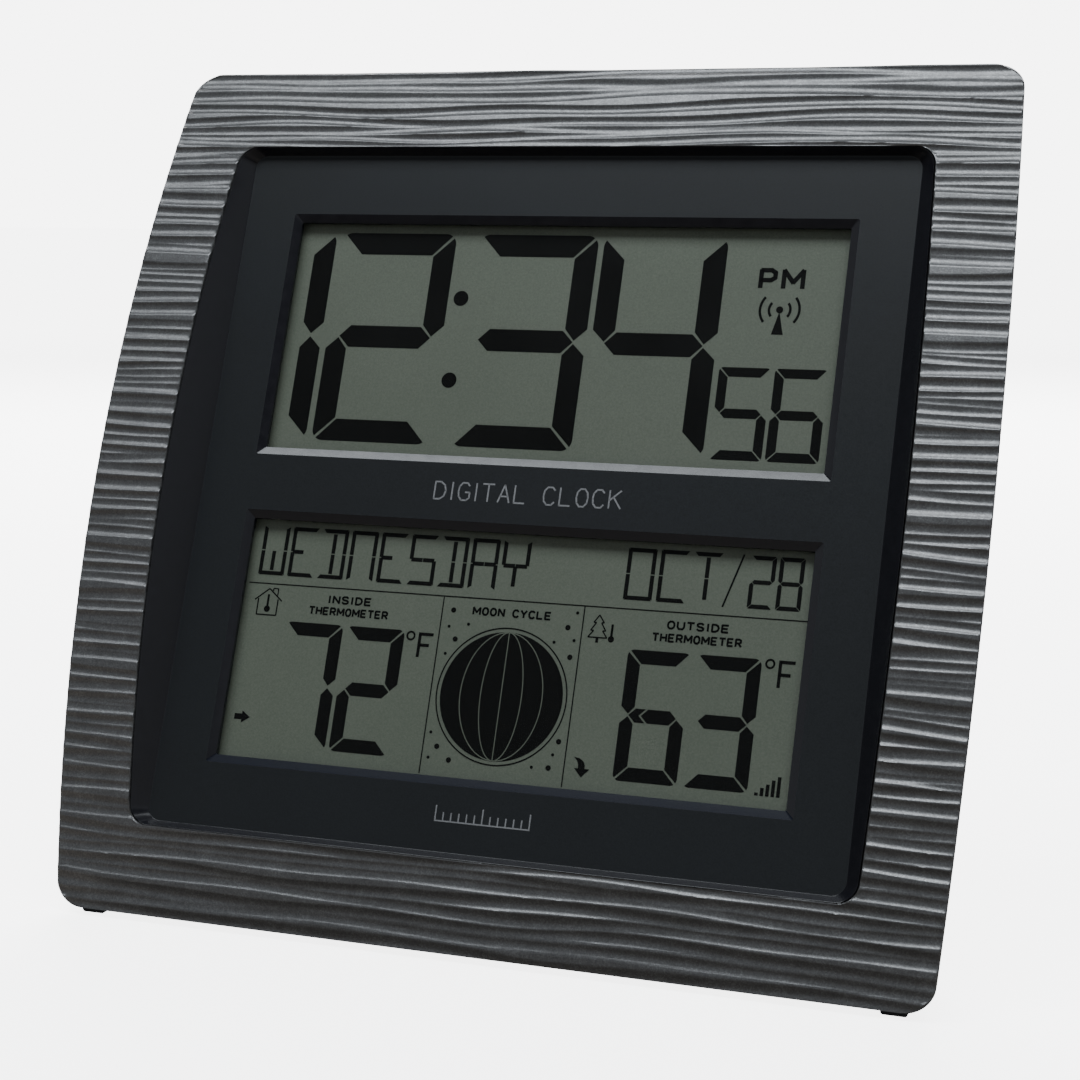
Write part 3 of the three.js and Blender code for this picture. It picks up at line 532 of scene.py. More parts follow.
def bezel_piece():
    """The dark tray: rim, sloped walls, and a flat panel with two chamfered windows."""
    detail = {"turn_steps": 10, "side_steps": 36}
    rings = Rings()

    def ring_at(outline, half, y, y_ref=0.0):
        y = np.broadcast_to(y, len(outline))
        x = outline[:, 0] * (1 + OPEN_FLARE * (y_ref - y) / half)
        return np.stack([x, y, outline[:, 1]], axis=-1)

    def inward(outline, half, low, high, corner, distance):
        nx, nz = outline_normal(outline[:, 0], outline[:, 1], half, low, high, corner)
        return outline - distance * np.stack([nx, nz], axis=-1)

    out_half = OPEN_HALF - BEZEL_GAP
    out = (out_half, OPEN_LOW + BEZEL_GAP, OPEN_HIGH - BEZEL_GAP, OPEN_CORNER - BEZEL_GAP)
    skin = rounded_outline(*out, **detail)
    well = (PANEL_HALF, PANEL_LOW, PANEL_HIGH, OPEN_CORNER - 1.4)
    hollow = rounded_outline(*well, **detail)
    rim = -bow(skin[:, 1]) + BEZEL_RIM_DROP
    ring = back = rings.add(ring_at(skin, out_half, PANEL_BACK))
    for inset, drop in ((0.0, 0.1), (0.04, 0.0), (0.1, 0.03), (0.14, 0.12)):
        y = np.minimum(rim + drop, PANEL_BACK - 0.2)
        ring = rings.add(ring_at(inward(skin, *out, inset), out_half, y), ring)
    for share in np.linspace(0, 1, 5):
        y = PANEL_FRONT - BEZEL_FOLD * (1 - share) ** 2
        edge = inward(hollow, *well, BEZEL_FOLD * share ** 2)
        ring = rings.add(ring_at(edge, PANEL_HALF, y, PANEL_FRONT), ring)
    edge = inward(hollow, *well, BEZEL_FOLD + 0.5)
    panel_edge = rings.add(ring_at(edge, PANEL_HALF, PANEL_FRONT, PANEL_FRONT), ring)

    fronts = []
    backs = []
    for low, high in WINDOWS.values():
        wide = CHAMFER_WIDTH
        lip = rounded_outline(WINDOW_HALF + wide, low - wide, high + wide, 0.6, turn_steps=4)
        sill = rounded_outline(WINDOW_HALF, low, high, 0.3, turn_steps=4)
        flat = np.zeros(len(lip))
        front = rings.add(np.stack([lip[:, 0], flat + PANEL_FRONT, lip[:, 1]], axis=-1))
        depth = flat + CHAMFER_DEPTH
        depth[sill[:, 1] < WINDOWS["lower"][0] + 0.5] = LOWER_SILL_DEPTH
        ring = rings.add(np.stack([sill[:, 0], PANEL_FRONT + depth, sill[:, 1]], axis=-1), front)
        ring = rings.add(np.stack([sill[:, 0], flat + PANEL_BACK, sill[:, 1]], axis=-1), ring)
        fronts.append(front)
        backs.append(ring)

    mesh = rings.mesh("bezel_tray")
    close_between(mesh, panel_edge, *fronts)
    close_between(mesh, back, *backs)
    tray = make_piece("bezel_tray", mesh, "bezel_black", crease=math.radians(13))
    # The panel is grained; its walls and the windows' chamfers are smooth. The lower sill is a duller copy
    # whose lighter bluish colour is a painted reflection of the room
    mesh.materials.append(MATERIALS["bezel_gloss"])
    mesh.materials.append(MATERIALS["bezel_sill"])
    straight_out = Vector((0, -math.cos(LEAN), math.sin(LEAN)))
    sill_height = to_row([(0, PANEL_FRONT, WINDOWS["lower"][0])])[0][2]
    for face in mesh.polygons:
        if abs(face.normal.dot(straight_out)) < 0.985:
            # Upward faces of the lower window's sill get the copy with the painted reflection
            on_sill = abs(face.center.z - sill_height) < 4 * MM and face.normal.z > 0.45
            face.material_index = 2 if on_sill else 1
    return tray


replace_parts(bezel_piece(), "display_bezel")


# ---------------------------------------------------------------- displays

INK_LIFT = 0.06  # how far the segments' front stands before the display's glass
INK_DEPTH = 0.04  # the segments' thickness
FLAT_CREASE = 0.3  # edges of thin plates sharper than this stay sharp


def plates(shapes, layers):
    """Points and faces of closed plates. A layer is its depth and how far the outlines are drawn in there."""
    points = []
    faces = []
    for shape in map(anticlockwise, shapes):
        centre = np.mean(shape, axis=0)
        first = len(points)
        count = len(shape)
        for depth, shrink in layers:
            for corner in np.array(shape):
                away = corner - centre
                x, z = corner - away * min(shrink / max(np.hypot(*away), 1e-6), 0.4)
                points.append((x, depth, z))
        last = first + count * (len(layers) - 1)
        faces.append(tuple(range(first + count - 1, first - 1, -1)))
        faces.append(tuple(range(last, last + count)))
        for start in range(first, last, count):
            for i in range(count):
                j = (i + 1) % count
                faces.append((start + i, start + j, start + count + j, start + count + i))
    return points, faces


def raised_plates(shapes, near, far):
    """Plates between two depths, their tops drawn in a little."""
    return plates(shapes, ((near, 0.0), ((near + 3 * far) / 4, 0.0), (far, 0.12)))


def ink_piece(name, shapes, lift=INK_LIFT, material="lcd_ink", slot="lcd_glass"):
    """Thin closed plates from outlines in x and z, lying on the display glass."""
    front = LCD_FRONT - lift
    points, faces = plates(shapes, ((front + INK_DEPTH, 0.0), (front, 0.0)))
    mesh = mesh_of(name, points, faces)
    return make_piece(name, mesh, slot, material=MATERIALS[material], crease=FLAT_CREASE)


LIT_SEGMENTS = {
    "1": "bc", "2": "abged", "3": "abgcd", "4": "fgbc", "5": "afgcd", "6": "afgedc", "7": "abc",
    "8": "abcdefg",
}


def seven_segment(character, left, low, width, height, thick, gap):
    """Outlines of a seven-segment character's lit segments, mitred at its rounded corners."""
    right = left + width
    high = low + height
    mid = (low + high) / 2
    half = thick / 2
    shift = gap / math.sqrt(2)
    turns = np.linspace(0, math.pi / 4 - shift / half, 5)
    mitre = [(half * (1 - math.sin(turn)), half * (1 - math.cos(turn))) for turn in turns]
    mitre.append((thick + shift, thick))

    def level(edge, inward):
        """Top or bottom segment, as far as its mitres."""
        near = [(left + dx, edge + inward * dz) for dx, dz in mitre]
        far = [(right - dx, edge + inward * dz) for dx, dz in reversed(mitre)]
        return near + far

    def upright(edge, inward, end, up):
        """Side segment, from its mitre to its point at half height."""
        top = [(edge + inward * dx, end - up * dz) for dz, dx in mitre]
        point = [(edge + inward * thick, mid + up * (half + gap)),
                 (edge + inward * half * 1.1, mid + up * gap * 0.8), (edge, mid + up * (half + gap))]
        return top + point

    inset = gap * 0.9
    parts = {
        "a": level(high, -1),
        "d": level(low, 1),
        "b": upright(right, -1, high, 1),
        "c": upright(right, -1, low, -1),
        "f": upright(left, 1, high, 1),
        "e": upright(left, 1, low, -1),
        "g": [(left + half + inset, mid), (left + thick + inset, mid + half),
              (right - thick - inset, mid + half), (right - half - inset, mid),
              (right - thick - inset, mid - half), (left + thick + inset, mid - half)],
    }
    return [parts[letter] for letter in LIT_SEGMENTS[character]]


def bar(x0, z0, x1, z1):
    return [(x0, z0), (x1, z0), (x1, z1), (x0, z1)]


def line(start, end, width):
    start = np.array(start, float)
    end = np.array(end, float)
    along = (end - start) / np.hypot(*(end - start))
    side = np.array((-along[1], along[0])) * width / 2
    return [tuple(start - side), tuple(end - side), tuple(end + side), tuple(start + side)]


def polyline(points, width, closed=False):
    ends = points[1:] + points[:1] if closed else points[1:]
    return [line(a, b, width) for a, b in zip(points, ends)]


def disc(x, z, radius, sides=20):
    steps = [2 * math.pi * i / sides for i in range(sides)]
    return [(x + radius * math.cos(a), z + radius * math.sin(a)) for a in steps]


def arc_band(x, z, radius, width, start, end, sides=24):
    """Short pieces of a ring between two angles in degrees."""
    shapes = []
    for i in range(sides):
        a = math.radians(start + (end - start) * i / sides)
        b = math.radians(start + (end - start) * (i + 1) / sides)
        inner = radius - width / 2
        outer = radius + width / 2
        shapes.append([(x + r * math.cos(t), z + r * math.sin(t)) for r, t in
                       ((inner, a), (outer, a), (outer, b), (inner, b))])
    return shapes


LETTERS = {
    "W": "fbecdi", "E": "afgde", "D": "adbcli", "N": "afbec", "S": "afghcd", "A": "afbecgh",
    "Y": "fghbi", "O": "abcdef", "C": "afed", "T": "ali",
}


def letter_segments(character, left, low, width, height, stroke):
    """Fourteen-segment letters made of upright and level strokes."""
    right = left + width
    high = low + height
    mid = (low + high) / 2
    middle = (left + right) / 2
    gap = 0.14
    half = stroke / 2
    slope = stroke * 0.8

    def level(z, inward):
        return [(left + gap, z), (right - gap, z), (right - gap - slope, z + inward * stroke),
                (left + gap + slope, z + inward * stroke)]

    def upright(x, inward, a, b):
        return [(x, a), (x + inward * stroke, a + (b - a) * 0.1), (x + inward * stroke, b), (x, b)]

    parts = {
        "a": level(high, -1),
        "d": level(low, 1),
        "f": upright(left, 1, high - gap, mid + gap),
        "e": upright(left, 1, low + gap, mid - gap),
        "b": upright(right, -1, high - gap, mid + gap),
        "c": upright(right, -1, low + gap, mid - gap),
        "g": bar(left + stroke * 0.5, mid - half, middle - gap / 2, mid + half),
        "h": bar(middle + gap / 2, mid - half, right - stroke * 0.5, mid + half),
        "i": bar(middle - half, low + stroke * 1.25, middle + half, mid - gap),
        "l": bar(middle - half, mid + gap, middle + half, high - stroke * 1.25),
    }
    return [parts[part] for part in LETTERS[character]]


def temperature_unit(x, z_top, z_low):
    """The degree ring and the F after a temperature."""
    ring = arc_band(x, z_top - 1.3, 1.0, 0.5, 0, 360, 20)
    stem = x + 2.1
    return ring + [bar(stem, z_low, stem + 0.8, z_top - 0.3), bar(stem, z_top - 1.1, stem + 4.0, z_top - 0.3),
                   bar(stem, z_low + 2.7, stem + 3.1, z_low + 3.5)]


STROKES = {
    "A": [[(0, 0), (0.5, 1), (1, 0)], [(0.19, 0.34), (0.81, 0.34)]],
    "C": [[(0.95, 0.84), (0.74, 1), (0.32, 1), (0.07, 0.8), (0, 0.5), (0.07, 0.2), (0.32, 0), (0.74, 0),
           (0.95, 0.16)]],
    "D": [[(0, 0), (0, 1), (0.5, 1), (0.86, 0.82), (1, 0.5), (0.86, 0.18), (0.5, 0), (0, 0)]],
    "E": [[(0.9, 1), (0, 1), (0, 0), (0.9, 0)], [(0, 0.5), (0.78, 0.5)]],
    "G": [[(0.95, 0.84), (0.74, 1), (0.32, 1), (0.07, 0.8), (0, 0.5), (0.07, 0.2), (0.32, 0), (0.74, 0),
           (1, 0.14), (1, 0.46), (0.6, 0.46)]],
    "H": [[(0, 0), (0, 1)], [(1, 0), (1, 1)], [(0, 0.5), (1, 0.5)]],
    "I": [[(0.5, 0), (0.5, 1)]],
    "K": [[(0, 0), (0, 1)], [(0.95, 1), (0.05, 0.46)], [(0.36, 0.62), (1, 0)]],
    "L": [[(0, 1), (0, 0), (0.9, 0)]],
    "M": [[(0, 0), (0, 1), (0.5, 0.3), (1, 1), (1, 0)]],
    "N": [[(0, 0), (0, 1), (1, 0), (1, 1)]],
    "O": [[(0.32, 1), (0.68, 1), (0.93, 0.8), (1, 0.5), (0.93, 0.2), (0.68, 0), (0.32, 0), (0.07, 0.2),
           (0, 0.5), (0.07, 0.8), (0.32, 1)]],
    "P": [[(0, 0), (0, 1), (0.66, 1), (0.92, 0.86), (0.92, 0.56), (0.66, 0.42), (0, 0.42)]],
    "R": [[(0, 0), (0, 1), (0.66, 1), (0.92, 0.86), (0.92, 0.58), (0.66, 0.46), (0, 0.46)],
          [(0.5, 0.46), (0.98, 0)]],
    "S": [[(0.92, 0.84), (0.72, 1), (0.28, 1), (0.05, 0.86), (0.05, 0.66), (0.26, 0.54), (0.7, 0.47),
           (0.95, 0.34), (0.95, 0.14), (0.72, 0), (0.26, 0), (0.03, 0.16)]],
    "T": [[(0, 1), (1, 1)], [(0.5, 1), (0.5, 0)]],
    "U": [[(0, 1), (0, 0.3), (0.2, 0), (0.8, 0), (1, 0.3), (1, 1)]],
    "Y": [[(0, 1), (0.5, 0.46), (1, 1)], [(0.5, 0.46), (0.5, 0)]],
}
LETTER_WIDTHS = {"I": 0.3, " ": 0.7, "M": 1.25}  # the other letters' width is 1


def stroked_words(words, left, right, low, high, stroke, space=0.42):
    """Plain upright lettering of one stroke width, spread evenly from left to right."""
    total = sum(LETTER_WIDTHS.get(c, 1.0) for c in words) + space * (len(words) - 1)
    unit = (right - left - stroke) / total
    x = left + stroke / 2
    base = low + stroke / 2
    tall = high - low - stroke
    shapes = []
    for character in words:
        width = LETTER_WIDTHS.get(character, 1.0) * unit
        for path in STROKES.get(character, []):
            points = [(x + width * px, base + tall * pz) for px, pz in path]
            shapes += joined_stroke(points, stroke)
        x += width + space * unit
    return shapes


def joined_stroke(points, width):
    """A stroke of even width as overlapping lengths, each a little longer than its line."""
    shapes = []
    for a, b in zip(points, points[1:]):
        a = np.array(a)
        b = np.array(b)
        along = (b - a) / np.hypot(*(b - a)) * width * 0.2
        shapes.append(line(a - along, b + along, width))
    return shapes


# The time and its seconds
time_shapes = []
for digit, left in (("1", -97.5), ("2", -63.1), ("3", -23.9), ("4", 10.35)):
    time_shapes += seven_segment(digit, left, 126.7, 32.7, 57.0, 5.9, 0.55)
time_shapes += [disc(-26.8, 166.2, 2.05, 28), disc(-26.8, 144.1, 2.05, 28)]
for digit, left in (("5", 44.6), ("6", 58.8)):
    time_shapes += seven_segment(digit, left, 126.4, 13.3, 23.6, 2.4, 0.3)
ink_piece("time_digits", time_shapes)

tower_shapes = [disc(58.1, 165.1, 0.9), [(56.6, 158.7), (59.6, 158.7), (58.1, 164.6)]]
for radius in (2.7, 5.0):
    tower_shapes += arc_band(58.1, 165.1, radius, 0.65, -40, 40, 12)
    tower_shapes += arc_band(58.1, 165.1, radius, 0.65, 140, 220, 12)
ink_piece("signal_symbol", tower_shapes)

# Weekday and date
DATE_STROKE = 1.02
date_shapes = []
for index, character in enumerate("WEDNESDAY"):
    date_shapes += letter_segments(character, -72.1 + 8.35 * index, 90.1, 7.3, 13.0, DATE_STROKE)
for character, left in (("O", 27.4), ("C", 35.8), ("T", 44.2)):
    date_shapes += letter_segments(character, left, 90.1, 7.3, 13.0, DATE_STROKE)
date_shapes.append(line((52.6, 89.9), (56.6, 103.1), 0.45))
for digit, left in (("2", 58.6), ("8", 65.6)):
    date_shapes += seven_segment(digit, left, 90.0, 6.15, 13.0, DATE_STROKE, 0.12)
ink_piece("date_line", date_shapes)

rule_shapes = [bar(-74.2, 87.65, 74.2, 87.95), bar(-19.55, 43.0, -19.25, 87.6),
               bar(17.85, 43.0, 18.15, 87.6)]
ink_piece("display_rules", rule_shapes)

# Both temperatures. A chevron at x = NOTCH splits the middle segment of the outdoor tens digit.
NOTCH = 35.9
temperature_shapes = [
    [(32.56, 61.92), (34.26, 63.62), (NOTCH + 0.9, 63.62), (NOTCH - 0.8, 61.92), (NOTCH + 0.9, 60.22),
     (34.26, 60.22)],
    [(NOTCH - 0.2, 61.92), (NOTCH + 1.5, 63.62), (42.84, 63.62), (44.49, 61.92), (42.84, 60.22),
     (NOTCH + 1.5, 60.22)],
]
for digit, left, low in (("7", -61.8, 46.3), ("2", -44.7, 46.3), ("6", 30.5, 45.9), ("3", 47.9, 45.9)):
    shapes = seven_segment(digit, left, low, 16.05, 32.05, 3.4, 0.4)
    if digit == "6":
        del shapes[LIT_SEGMENTS["6"].index("g")]
    temperature_shapes += shapes
temperature_shapes += temperature_unit(-26.9, 78.4, 71.8)
temperature_shapes += temperature_unit(66.0, 78.3, 71.4)
# A straight and a curved trend arrow, and the bars of the sensor's signal
temperature_shapes += [bar(-72.3, 52.1, -70.1, 53.6), [(-70.2, 51.3), (-67.9, 52.85), (-70.2, 54.4)]]
temperature_shapes.append([
    (20.3, 50.6), (21.1, 49.8), (21.5, 48.9), (21.6, 47.9), (20.6, 47.9), (22.6, 45.8), (24.5, 47.9),
    (23.3, 47.9), (23.2, 48.8), (22.9, 49.5), (22.4, 50.0), (21.6, 50.4),
])
for index, top in enumerate((46.3, 47.5, 48.4, 49.5, 50.4)):
    left = 65.7 + 1.32 * index
    temperature_shapes.append(bar(left, 45.6, left + 0.85, top))
ink_piece("temperature_digits", temperature_shapes)

# A house and a tree, each with a small thermometer
symbol_shapes = polyline([(-71.8, 83.4), (-68, 86.5), (-64.1, 83.4)], 0.35)
symbol_shapes += polyline([(-70.8, 83.8), (-70.8, 79.6), (-65.2, 79.6), (-65.2, 83.8)], 0.35)
symbol_shapes += polyline([(-66.9, 85.9), (-66.9, 86.6), (-65.5, 86.6), (-65.5, 84.8)], 0.3)
symbol_shapes += [bar(-68.3, 81.3, -67.7, 85.0), disc(-68, 81.2, 0.85)]
symbol_shapes += polyline([(22.1, 85.8), (20.8, 83.9), (21.5, 83.9), (20.2, 81.9), (21.0, 81.9), (19.7, 80.2),
                           (24.6, 80.2), (23.3, 81.9), (24.1, 81.9), (22.8, 83.9), (23.5, 83.9)], 0.32, True)
symbol_shapes += [bar(21.75, 78.9, 22.45, 80.1), bar(25.4, 80.1, 26.0, 83.7), disc(25.7, 80.0, 0.8)]
ink_piece("place_symbols", symbol_shapes)

# The moon: a ring, a disc crossed by pale meridians, and stars round it
MOON = (-0.7, 63.7)
ink_piece("moon_ring", arc_band(*MOON, 17.1, 0.35, 0, 360, 72))
ink_piece("moon_disc", [disc(*MOON, 16.1, 64)])
STARS = (  # x, z, and 1 for a big one
    (-16.4, 84.4, 1), (-17, 80.2, 0), (-11.9, 81.1, 0), (-14.9, 77.1, 1), (-17, 73.3, 0), (-17.8, 53.4, 0),
    (-15.7, 50, 1), (-17.6, 47.1, 0), (-12.1, 46.9, 1), (16.3, 85.9, 0), (14.3, 82.1, 1), (16.3, 79, 0),
    (11.2, 78.2, 0), (15.8, 74.8, 1), (15.8, 53.9, 1), (14.7, 50.6, 0), (14, 47.3, 1), (9.7, 47.1, 0),
)
ink_piece("star_dots", [disc(x, z, 0.68 if big else 0.4, 14) for x, z, big in STARS])
MERIDIAN_STEPS = 28
meridian_shapes = []
for reach in (-10.8, -5.4, 0.0, 5.4, 10.8):
    curve = []
    for i in range(MERIDIAN_STEPS + 1):
        angle = math.pi * (i / MERIDIAN_STEPS - 0.5) * 0.985
        curve.append((MOON[0] + reach * math.cos(angle), MOON[1] + 16.0 * math.sin(angle)))
    meridian_shapes += polyline(curve, 0.23)
ink_piece("moon_meridians", meridian_shapes, lift=INK_LIFT + 0.05, material="lcd_glass")

CAPTIONS = (  # words, left, right, low, high and stroke
    ("PM", 51.9, 63.7, 170.3, 175.9, 1.15),
    ("INSIDE", -51.2, -38.9, 83.7, 85.9, 0.5),
    ("THERMOMETER", -56.1, -33.9, 80.6, 82.8, 0.5),
    ("MOON CYCLE", -11.3, 9.7, 83.5, 85.7, 0.5),
    ("OUTSIDE", 39.4, 55.1, 83.5, 85.7, 0.5),
    ("THERMOMETER", 36.0, 58.6, 80.3, 82.5, 0.5),
)
caption_shapes = []
for entry in CAPTIONS:
    caption_shapes += stroked_words(*entry, space=0.5)
ink_piece("display_captions", caption_shapes)


# ---------------------------------------------------------------- print on the bezel

PRINT_LIFT = LCD_FRONT - PANEL_FRONT + 0.03  # just before the panel


def print_piece(name, shapes):
    return ink_piece(name, shapes, lift=PRINT_LIFT, material="print", slot="bezel_black")


print_piece("panel_lettering", stroked_words("DIGITAL CLOCK", -25, 25, 111.7, 116.6, 0.42))
tick_shapes = [bar(-12.3, 31.4, 12.6, 31.75)]
for index in range(13):
    tall = 3.6 if index % 6 == 0 else 2.0
    middle = -12.1 + 24.5 * index / 12
    tick_shapes.append(bar(middle - 0.18, 31.75, middle + 0.18, 31.75 + tall))
print_piece("panel_tick_scale", tick_shapes)


# ---------------------------------------------------------------- back

LEG_HINGE = (21.7, 128.0)  # depth and height of the leg's hinge line
LEG_SPLAY = math.radians(11.5)  # from the upright frame's vertical, with the leg out
LEG_FACE = 1.4  # half the leg's thickness
LEG_TIP = -116.85  # height of the leg's tip below its hinge
DOOR_MIDDLE = 67.0  # x of the battery door's middle
BUTTON_ROWS = (96, 108, 120, 132)
SIGN_X = -80.5  # x of the signs beside the buttons
SKIN_GAP = 0.02  # leaves raised shapes just clear of the face they lie on


def back_piece(name, shapes, height, slot="case_black", material=None, body="clock"):
    """Raised shapes on the rear cover's outer face, or on the battery door in it."""
    points, faces = raised_plates(shapes, BACK + SKIN_GAP, BACK + height)
    mesh = mesh_of(name, points, faces)
    return make_piece(name, mesh, slot, body, material and MATERIALS[material], FLAT_CREASE)


def leg_piece(name, shapes, height):
    """Raised shapes on the leg's rear face, in the leg's own frame: x across and z up from the hinge."""
    points, faces = raised_plates(shapes, LEG_FACE + SKIN_GAP, LEG_FACE + height)
    points = np.array(points)
    hinge = to_row([(0, LEG_HINGE[0], LEG_HINGE[1])])[0]
    cos, sin = math.cos(LEG_SPLAY), math.sin(LEG_SPLAY)
    placed = np.stack([points[:, 0], points[:, 1] * cos - points[:, 2] * sin,
                       points[:, 1] * sin + points[:, 2] * cos], axis=-1) * MM
    mesh = bpy.data.meshes.new(name)
    mesh.from_pydata((placed + np.array(hinge)).tolist(), [], faces)
    return make_piece(name, mesh, "case_black", "stand", crease=FLAT_CREASE)


def stadium(x, z, half, radius, width):
    """A band round an upright slot with round ends, as separate short plates."""
    straight = half - radius
    shapes = arc_band(x - straight, z, radius, width, 90, 270, 12)
    shapes += arc_band(x + straight, z, radius, width, -90, 90, 12)
    for side in (-1, 1):
        middle = z + side * radius
        shapes.append(bar(x - straight, middle - width / 2, x + straight, middle + width / 2))
    return shapes


# Grip ribs and an arrow on the battery door
grip_shapes = [bar(DOOR_MIDDLE - half, z, DOOR_MIDDLE + half, z + 0.9)
               for half, z in ((11, 66.6), (10, 64.6), (9, 62.6), (8, 60.6))]
grip_shapes.append([(DOOR_MIDDLE - 3.4, 58.2), (DOOR_MIDDLE + 3.4, 58.2), (DOOR_MIDDLE, 54.2)])
back_piece("door_grip", grip_shapes, 0.5, body="battery_door")

# One raised sign beside each button: up, down, a clock face and a signal
up, down, clock_face, signal = (BUTTON_ROWS[i] for i in (3, 2, 1, 0))
sign_shapes = [[(SIGN_X - 2, up - 1.5), (SIGN_X + 2, up - 1.5), (SIGN_X, up + 1.8)],
               [(SIGN_X - 2, down + 1.5), (SIGN_X, down - 1.8), (SIGN_X + 2, down + 1.5)]]
sign_shapes += arc_band(SIGN_X, clock_face, 2.1, 0.45, 0, 360, 24)
sign_shapes += [line((SIGN_X, clock_face - 0.2), (SIGN_X, clock_face + 1.5), 0.4),
                line((SIGN_X + 0.25, clock_face), (SIGN_X + 1.3, clock_face), 0.4)]
sign_shapes += [disc(SIGN_X, signal - 1.3, 0.5, 12)]
sign_shapes += arc_band(SIGN_X, signal - 1.3, 1.6, 0.4, 40, 140, 8)
sign_shapes += arc_band(SIGN_X, signal - 1.3, 2.7, 0.4, 40, 140, 10)
back_piece("button_signs", sign_shapes, 0.25, material="print")

# A blank rating label: a pale rounded plate with a dark border and empty ruled lines
left, low, right, high = -90.0, 30.0, -46.0, 58.0
label_shape = [(x + (left + right) / 2, z)
               for x, z in rounded_outline((right - left) / 2, low, high, 1.5, turn_steps=6)]
back_piece("rating_label", [label_shape], 0.1, material="label_paper")
rules = [line((left + 2, z), (right - 2, z), 0.35) for z in (low + 2, low + 8, low + 14, high - 2)]
rules += [line((x, low + 2), (x, high - 2), 0.35) for x in (left + 2, right - 2)]
points, faces = raised_plates(rules, BACK + 0.12, BACK + 0.16)
make_piece("label_rules", mesh_of("label_rules", points, faces), "case_black", crease=FLAT_CREASE)

# A raised border round the back, broken for the screws, and ribs on the leg
border_shapes = [bar(-84, 208.4, 84, 209.4), bar(-84, 19.4, -50, 20.4), bar(50, 19.4, 84, 20.4),
                 bar(-98.2, 28, -97.2, 204), bar(97.4, 80, 98.4, 204)]
back_piece("back_border", border_shapes, 0.4)
leg_shapes = [[(x, -10.0), (x * 0.8, -88.0), (x * 0.8 + 1.6, -88.0), (x + 1.6, -10.0)]
              for x in (-18.8, -0.8, 17.2)]
leg_shapes += [[(-26.6, -6.0), (-26.6, -4.8), (26.6, -4.8), (26.6, -6.0)]]
leg_shapes += stadium(0, LEG_TIP + 19, 10.3, 6.2, 1.1)
leg_piece("leg_ribs", leg_shapes, 0.5)

# Eased edges on the plain moulded parts: node, width in millimetres and steps
EASED_EDGES = [("rear_cover", 0.5, 2), ("stand_leg", 0.35, 2), ("battery_door", 0.3, 2),
               ("stand_pad", 0.3, 2), ("foot_left", 0.4, 3), ("foot_right", 0.4, 3)]
EASED_EDGES += [(f"rear_button_{number}", 0.5, 3) for number in range(1, 5)]
for node, width, segments in EASED_EDGES:
    ease = frame["nodes"][node].modifiers.new("eased_edges", "BEVEL")
    ease.width = width * MM
    ease.segments = segments
    ease.limit_method = "ANGLE"
    ease.angle_limit = math.radians(50)


# ---------------------------------------------------------------- room, light and camera


def look_at(position, target):
    direction = Vector(target) - Vector(position)
    return direction.to_track_quat("-Z", "Y").to_euler()


def area_light(name, position, target, size, power, colour=(1, 1, 1)):
    data = bpy.data.lights.new(name, "AREA")
    data.shape = "RECTANGLE"
    data.size, data.size_y = size
    data.energy = power
    data.color = colour
    lamp = bpy.data.objects.new(name, data)
    lamp.location = position
    lamp.rotation_euler = look_at(position, target)
    bpy.context.scene.collection.objects.link(lamp)
    return lamp


def seen_and_lighting(nodes, links, seen, lighting):
    """Mixes what the camera sees with what lights the object and is reflected in it."""
    path = nodes.new("ShaderNodeLightPath")
    mix = nodes.new("ShaderNodeMixShader")
    links.new(path.outputs["Is Camera Ray"], mix.inputs[0])
    links.new(lighting.outputs[0], mix.inputs[1])
    links.new(seen.outputs[0], mix.inputs[2])
    return mix.outputs[0]


def build_floor():
    """A pale floor that glows for the camera only, and lights the object as a darker one."""
    mesh = bpy.data.meshes.new("floor")
    reach = 6.0
    corners = [(-reach, -reach, 0), (reach, -reach, 0), (reach, reach, 0), (-reach, reach, 0)]
    mesh.from_pydata(corners, [], [(0, 1, 2, 3)])
    material, nodes, links, shader = new_material("floor_white")
    grain = noise(nodes, links, 300.0)
    links.new(ramp(nodes, links, grain.outputs["Fac"], [(0.3, (0.88, 0.88, 0.88)), (0.7, (0.9, 0.9, 0.9))]),
              shader.inputs["Base Color"])
    shader.inputs["Roughness"].default_value = 0.9
    shader.inputs["Specular IOR Level"].default_value = 0.0
    dark = nodes.new("ShaderNodeBsdfDiffuse")
    dark.inputs["Color"].default_value = (0.18, 0.163, 0.145, 1)
    glow = nodes.new("ShaderNodeEmission")
    coords = nodes.new("ShaderNodeTexCoord")
    distance = nodes.new("ShaderNodeVectorMath")
    distance.operation = "LENGTH"
    links.new(coords.outputs["Object"], distance.inputs[0])
    reach_out = nodes.new("ShaderNodeMapRange")
    for socket, value in (("From Min", 0.4), ("From Max", 2.2), ("To Min", 4.5), ("To Max", 6.0)):
        reach_out.inputs[socket].default_value = value
    links.new(distance.outputs["Value"], reach_out.inputs["Value"])
    links.new(reach_out.outputs["Result"], glow.inputs["Strength"])
    bright = nodes.new("ShaderNodeAddShader")
    links.new(shader.outputs[0], bright.inputs[0])
    links.new(glow.outputs[0], bright.inputs[1])
    surface = seen_and_lighting(nodes, links, bright, dark)
    links.new(surface, nodes["Material Output"].inputs["Surface"])
    mesh.materials.append(material)
    floor = bpy.data.objects.new("floor", mesh)
    bpy.context.scene.collection.objects.link(floor)


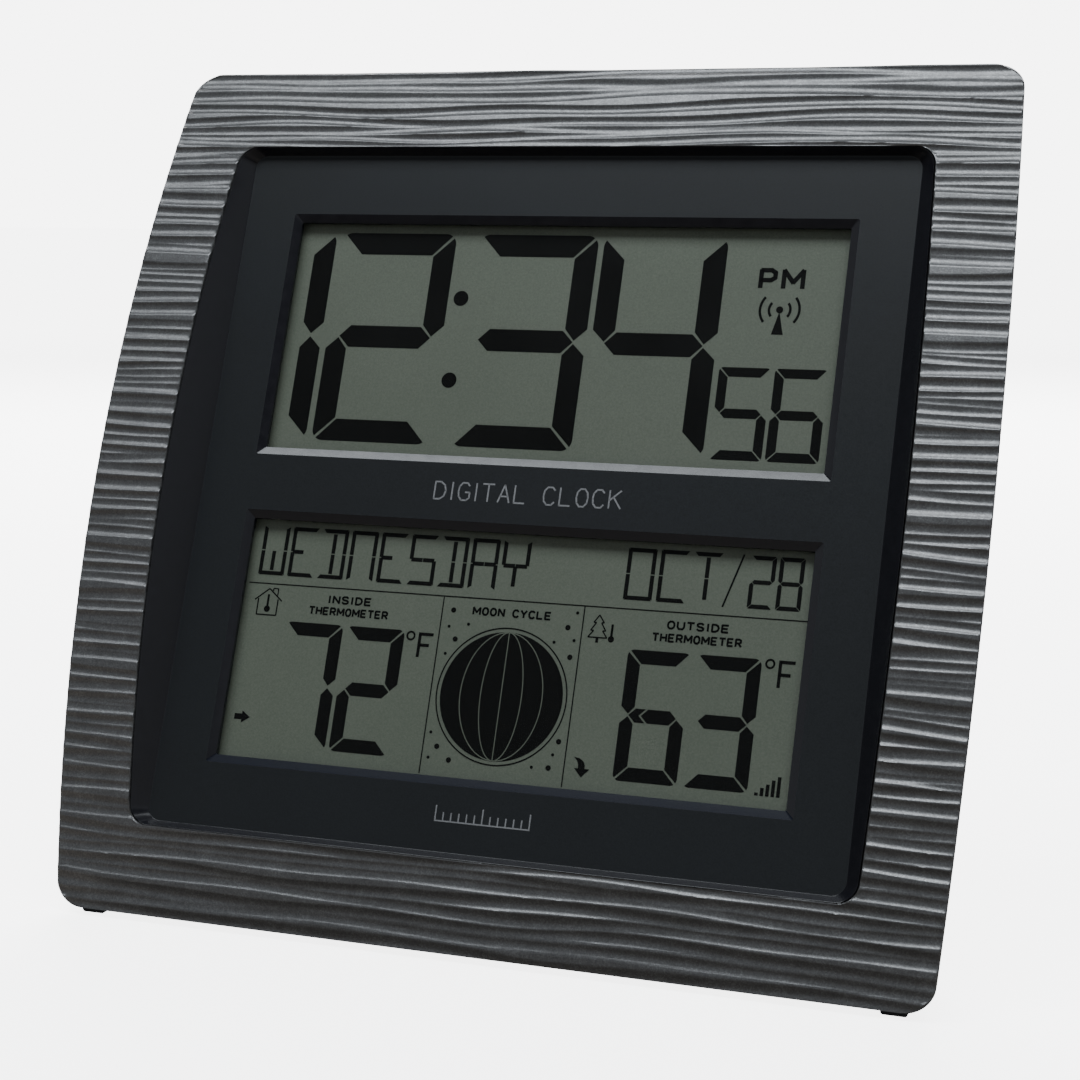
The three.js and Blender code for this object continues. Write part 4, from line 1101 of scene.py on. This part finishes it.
def build_camera():
    """The photo's viewpoint, solved from the outlines of the frame and the windows."""
    data = bpy.data.cameras.new("camera")
    data.sensor_width = 36.0
    data.lens = 77.15
    data.clip_start = 0.01
    camera = bpy.data.objects.new("camera", data)
    yaw, pitch, roll = (math.radians(a) for a in (20.509, 9.080, 0.107))
    forward = Vector((-math.sin(yaw) * math.cos(pitch), math.cos(yaw) * math.cos(pitch), -math.sin(pitch)))
    right = Vector((math.cos(yaw), math.sin(yaw), 0))
    up = right.cross(forward)
    turned_right = right * math.cos(roll) + up * math.sin(roll)
    turned_up = up * math.cos(roll) - right * math.sin(roll)
    basis = Matrix((turned_right, turned_up, -forward)).transposed()
    camera.matrix_world = Matrix.Translation((0.20303, -0.54264, 0.18781)) @ basis.to_4x4()
    bpy.context.scene.collection.objects.link(camera)
    bpy.context.scene.camera = camera


def build_light():
    """A soft room, brighter at the height of the object, with one light overhead and one behind."""
    world = bpy.data.worlds.new("studio")
    bpy.context.scene.world = world
    world.use_nodes = True
    nodes = world.node_tree.nodes
    links = world.node_tree.links
    seen = nodes["Background"]
    seen.inputs["Color"].default_value = (1.0, 1.0, 1.0, 1)
    seen.inputs["Strength"].default_value = 6.5
    room = nodes.new("ShaderNodeBackground")
    coords = nodes.new("ShaderNodeTexCoord")
    height = nodes.new("ShaderNodeSeparateXYZ")
    links.new(coords.outputs["Generated"], height.inputs[0])
    stops = [(0.0, (0.25, 0.25, 0.255)), (0.2, (0.33, 0.345, 0.36)), (0.42, (0.4, 0.42, 0.44)),
             (0.6, (0.07, 0.075, 0.082)), (0.95, (0.12, 0.12, 0.125))]
    links.new(ramp(nodes, links, height.outputs["Z"], stops), room.inputs["Color"])
    surface = seen_and_lighting(nodes, links, seen, room)
    links.new(surface, nodes["World Output"].inputs["Surface"])
    area_light("overhead", (0.0, -0.28, 1.15), (0.0, -0.28, 0), (1.3, 0.5), 14.5, (0.9, 0.955, 1.0))
    area_light("behind", (-0.35, 1.1, 0.85), (0.0, 0.1, 0.1), (1.2, 1.0), 42)


build_floor()
build_camera()
build_light()
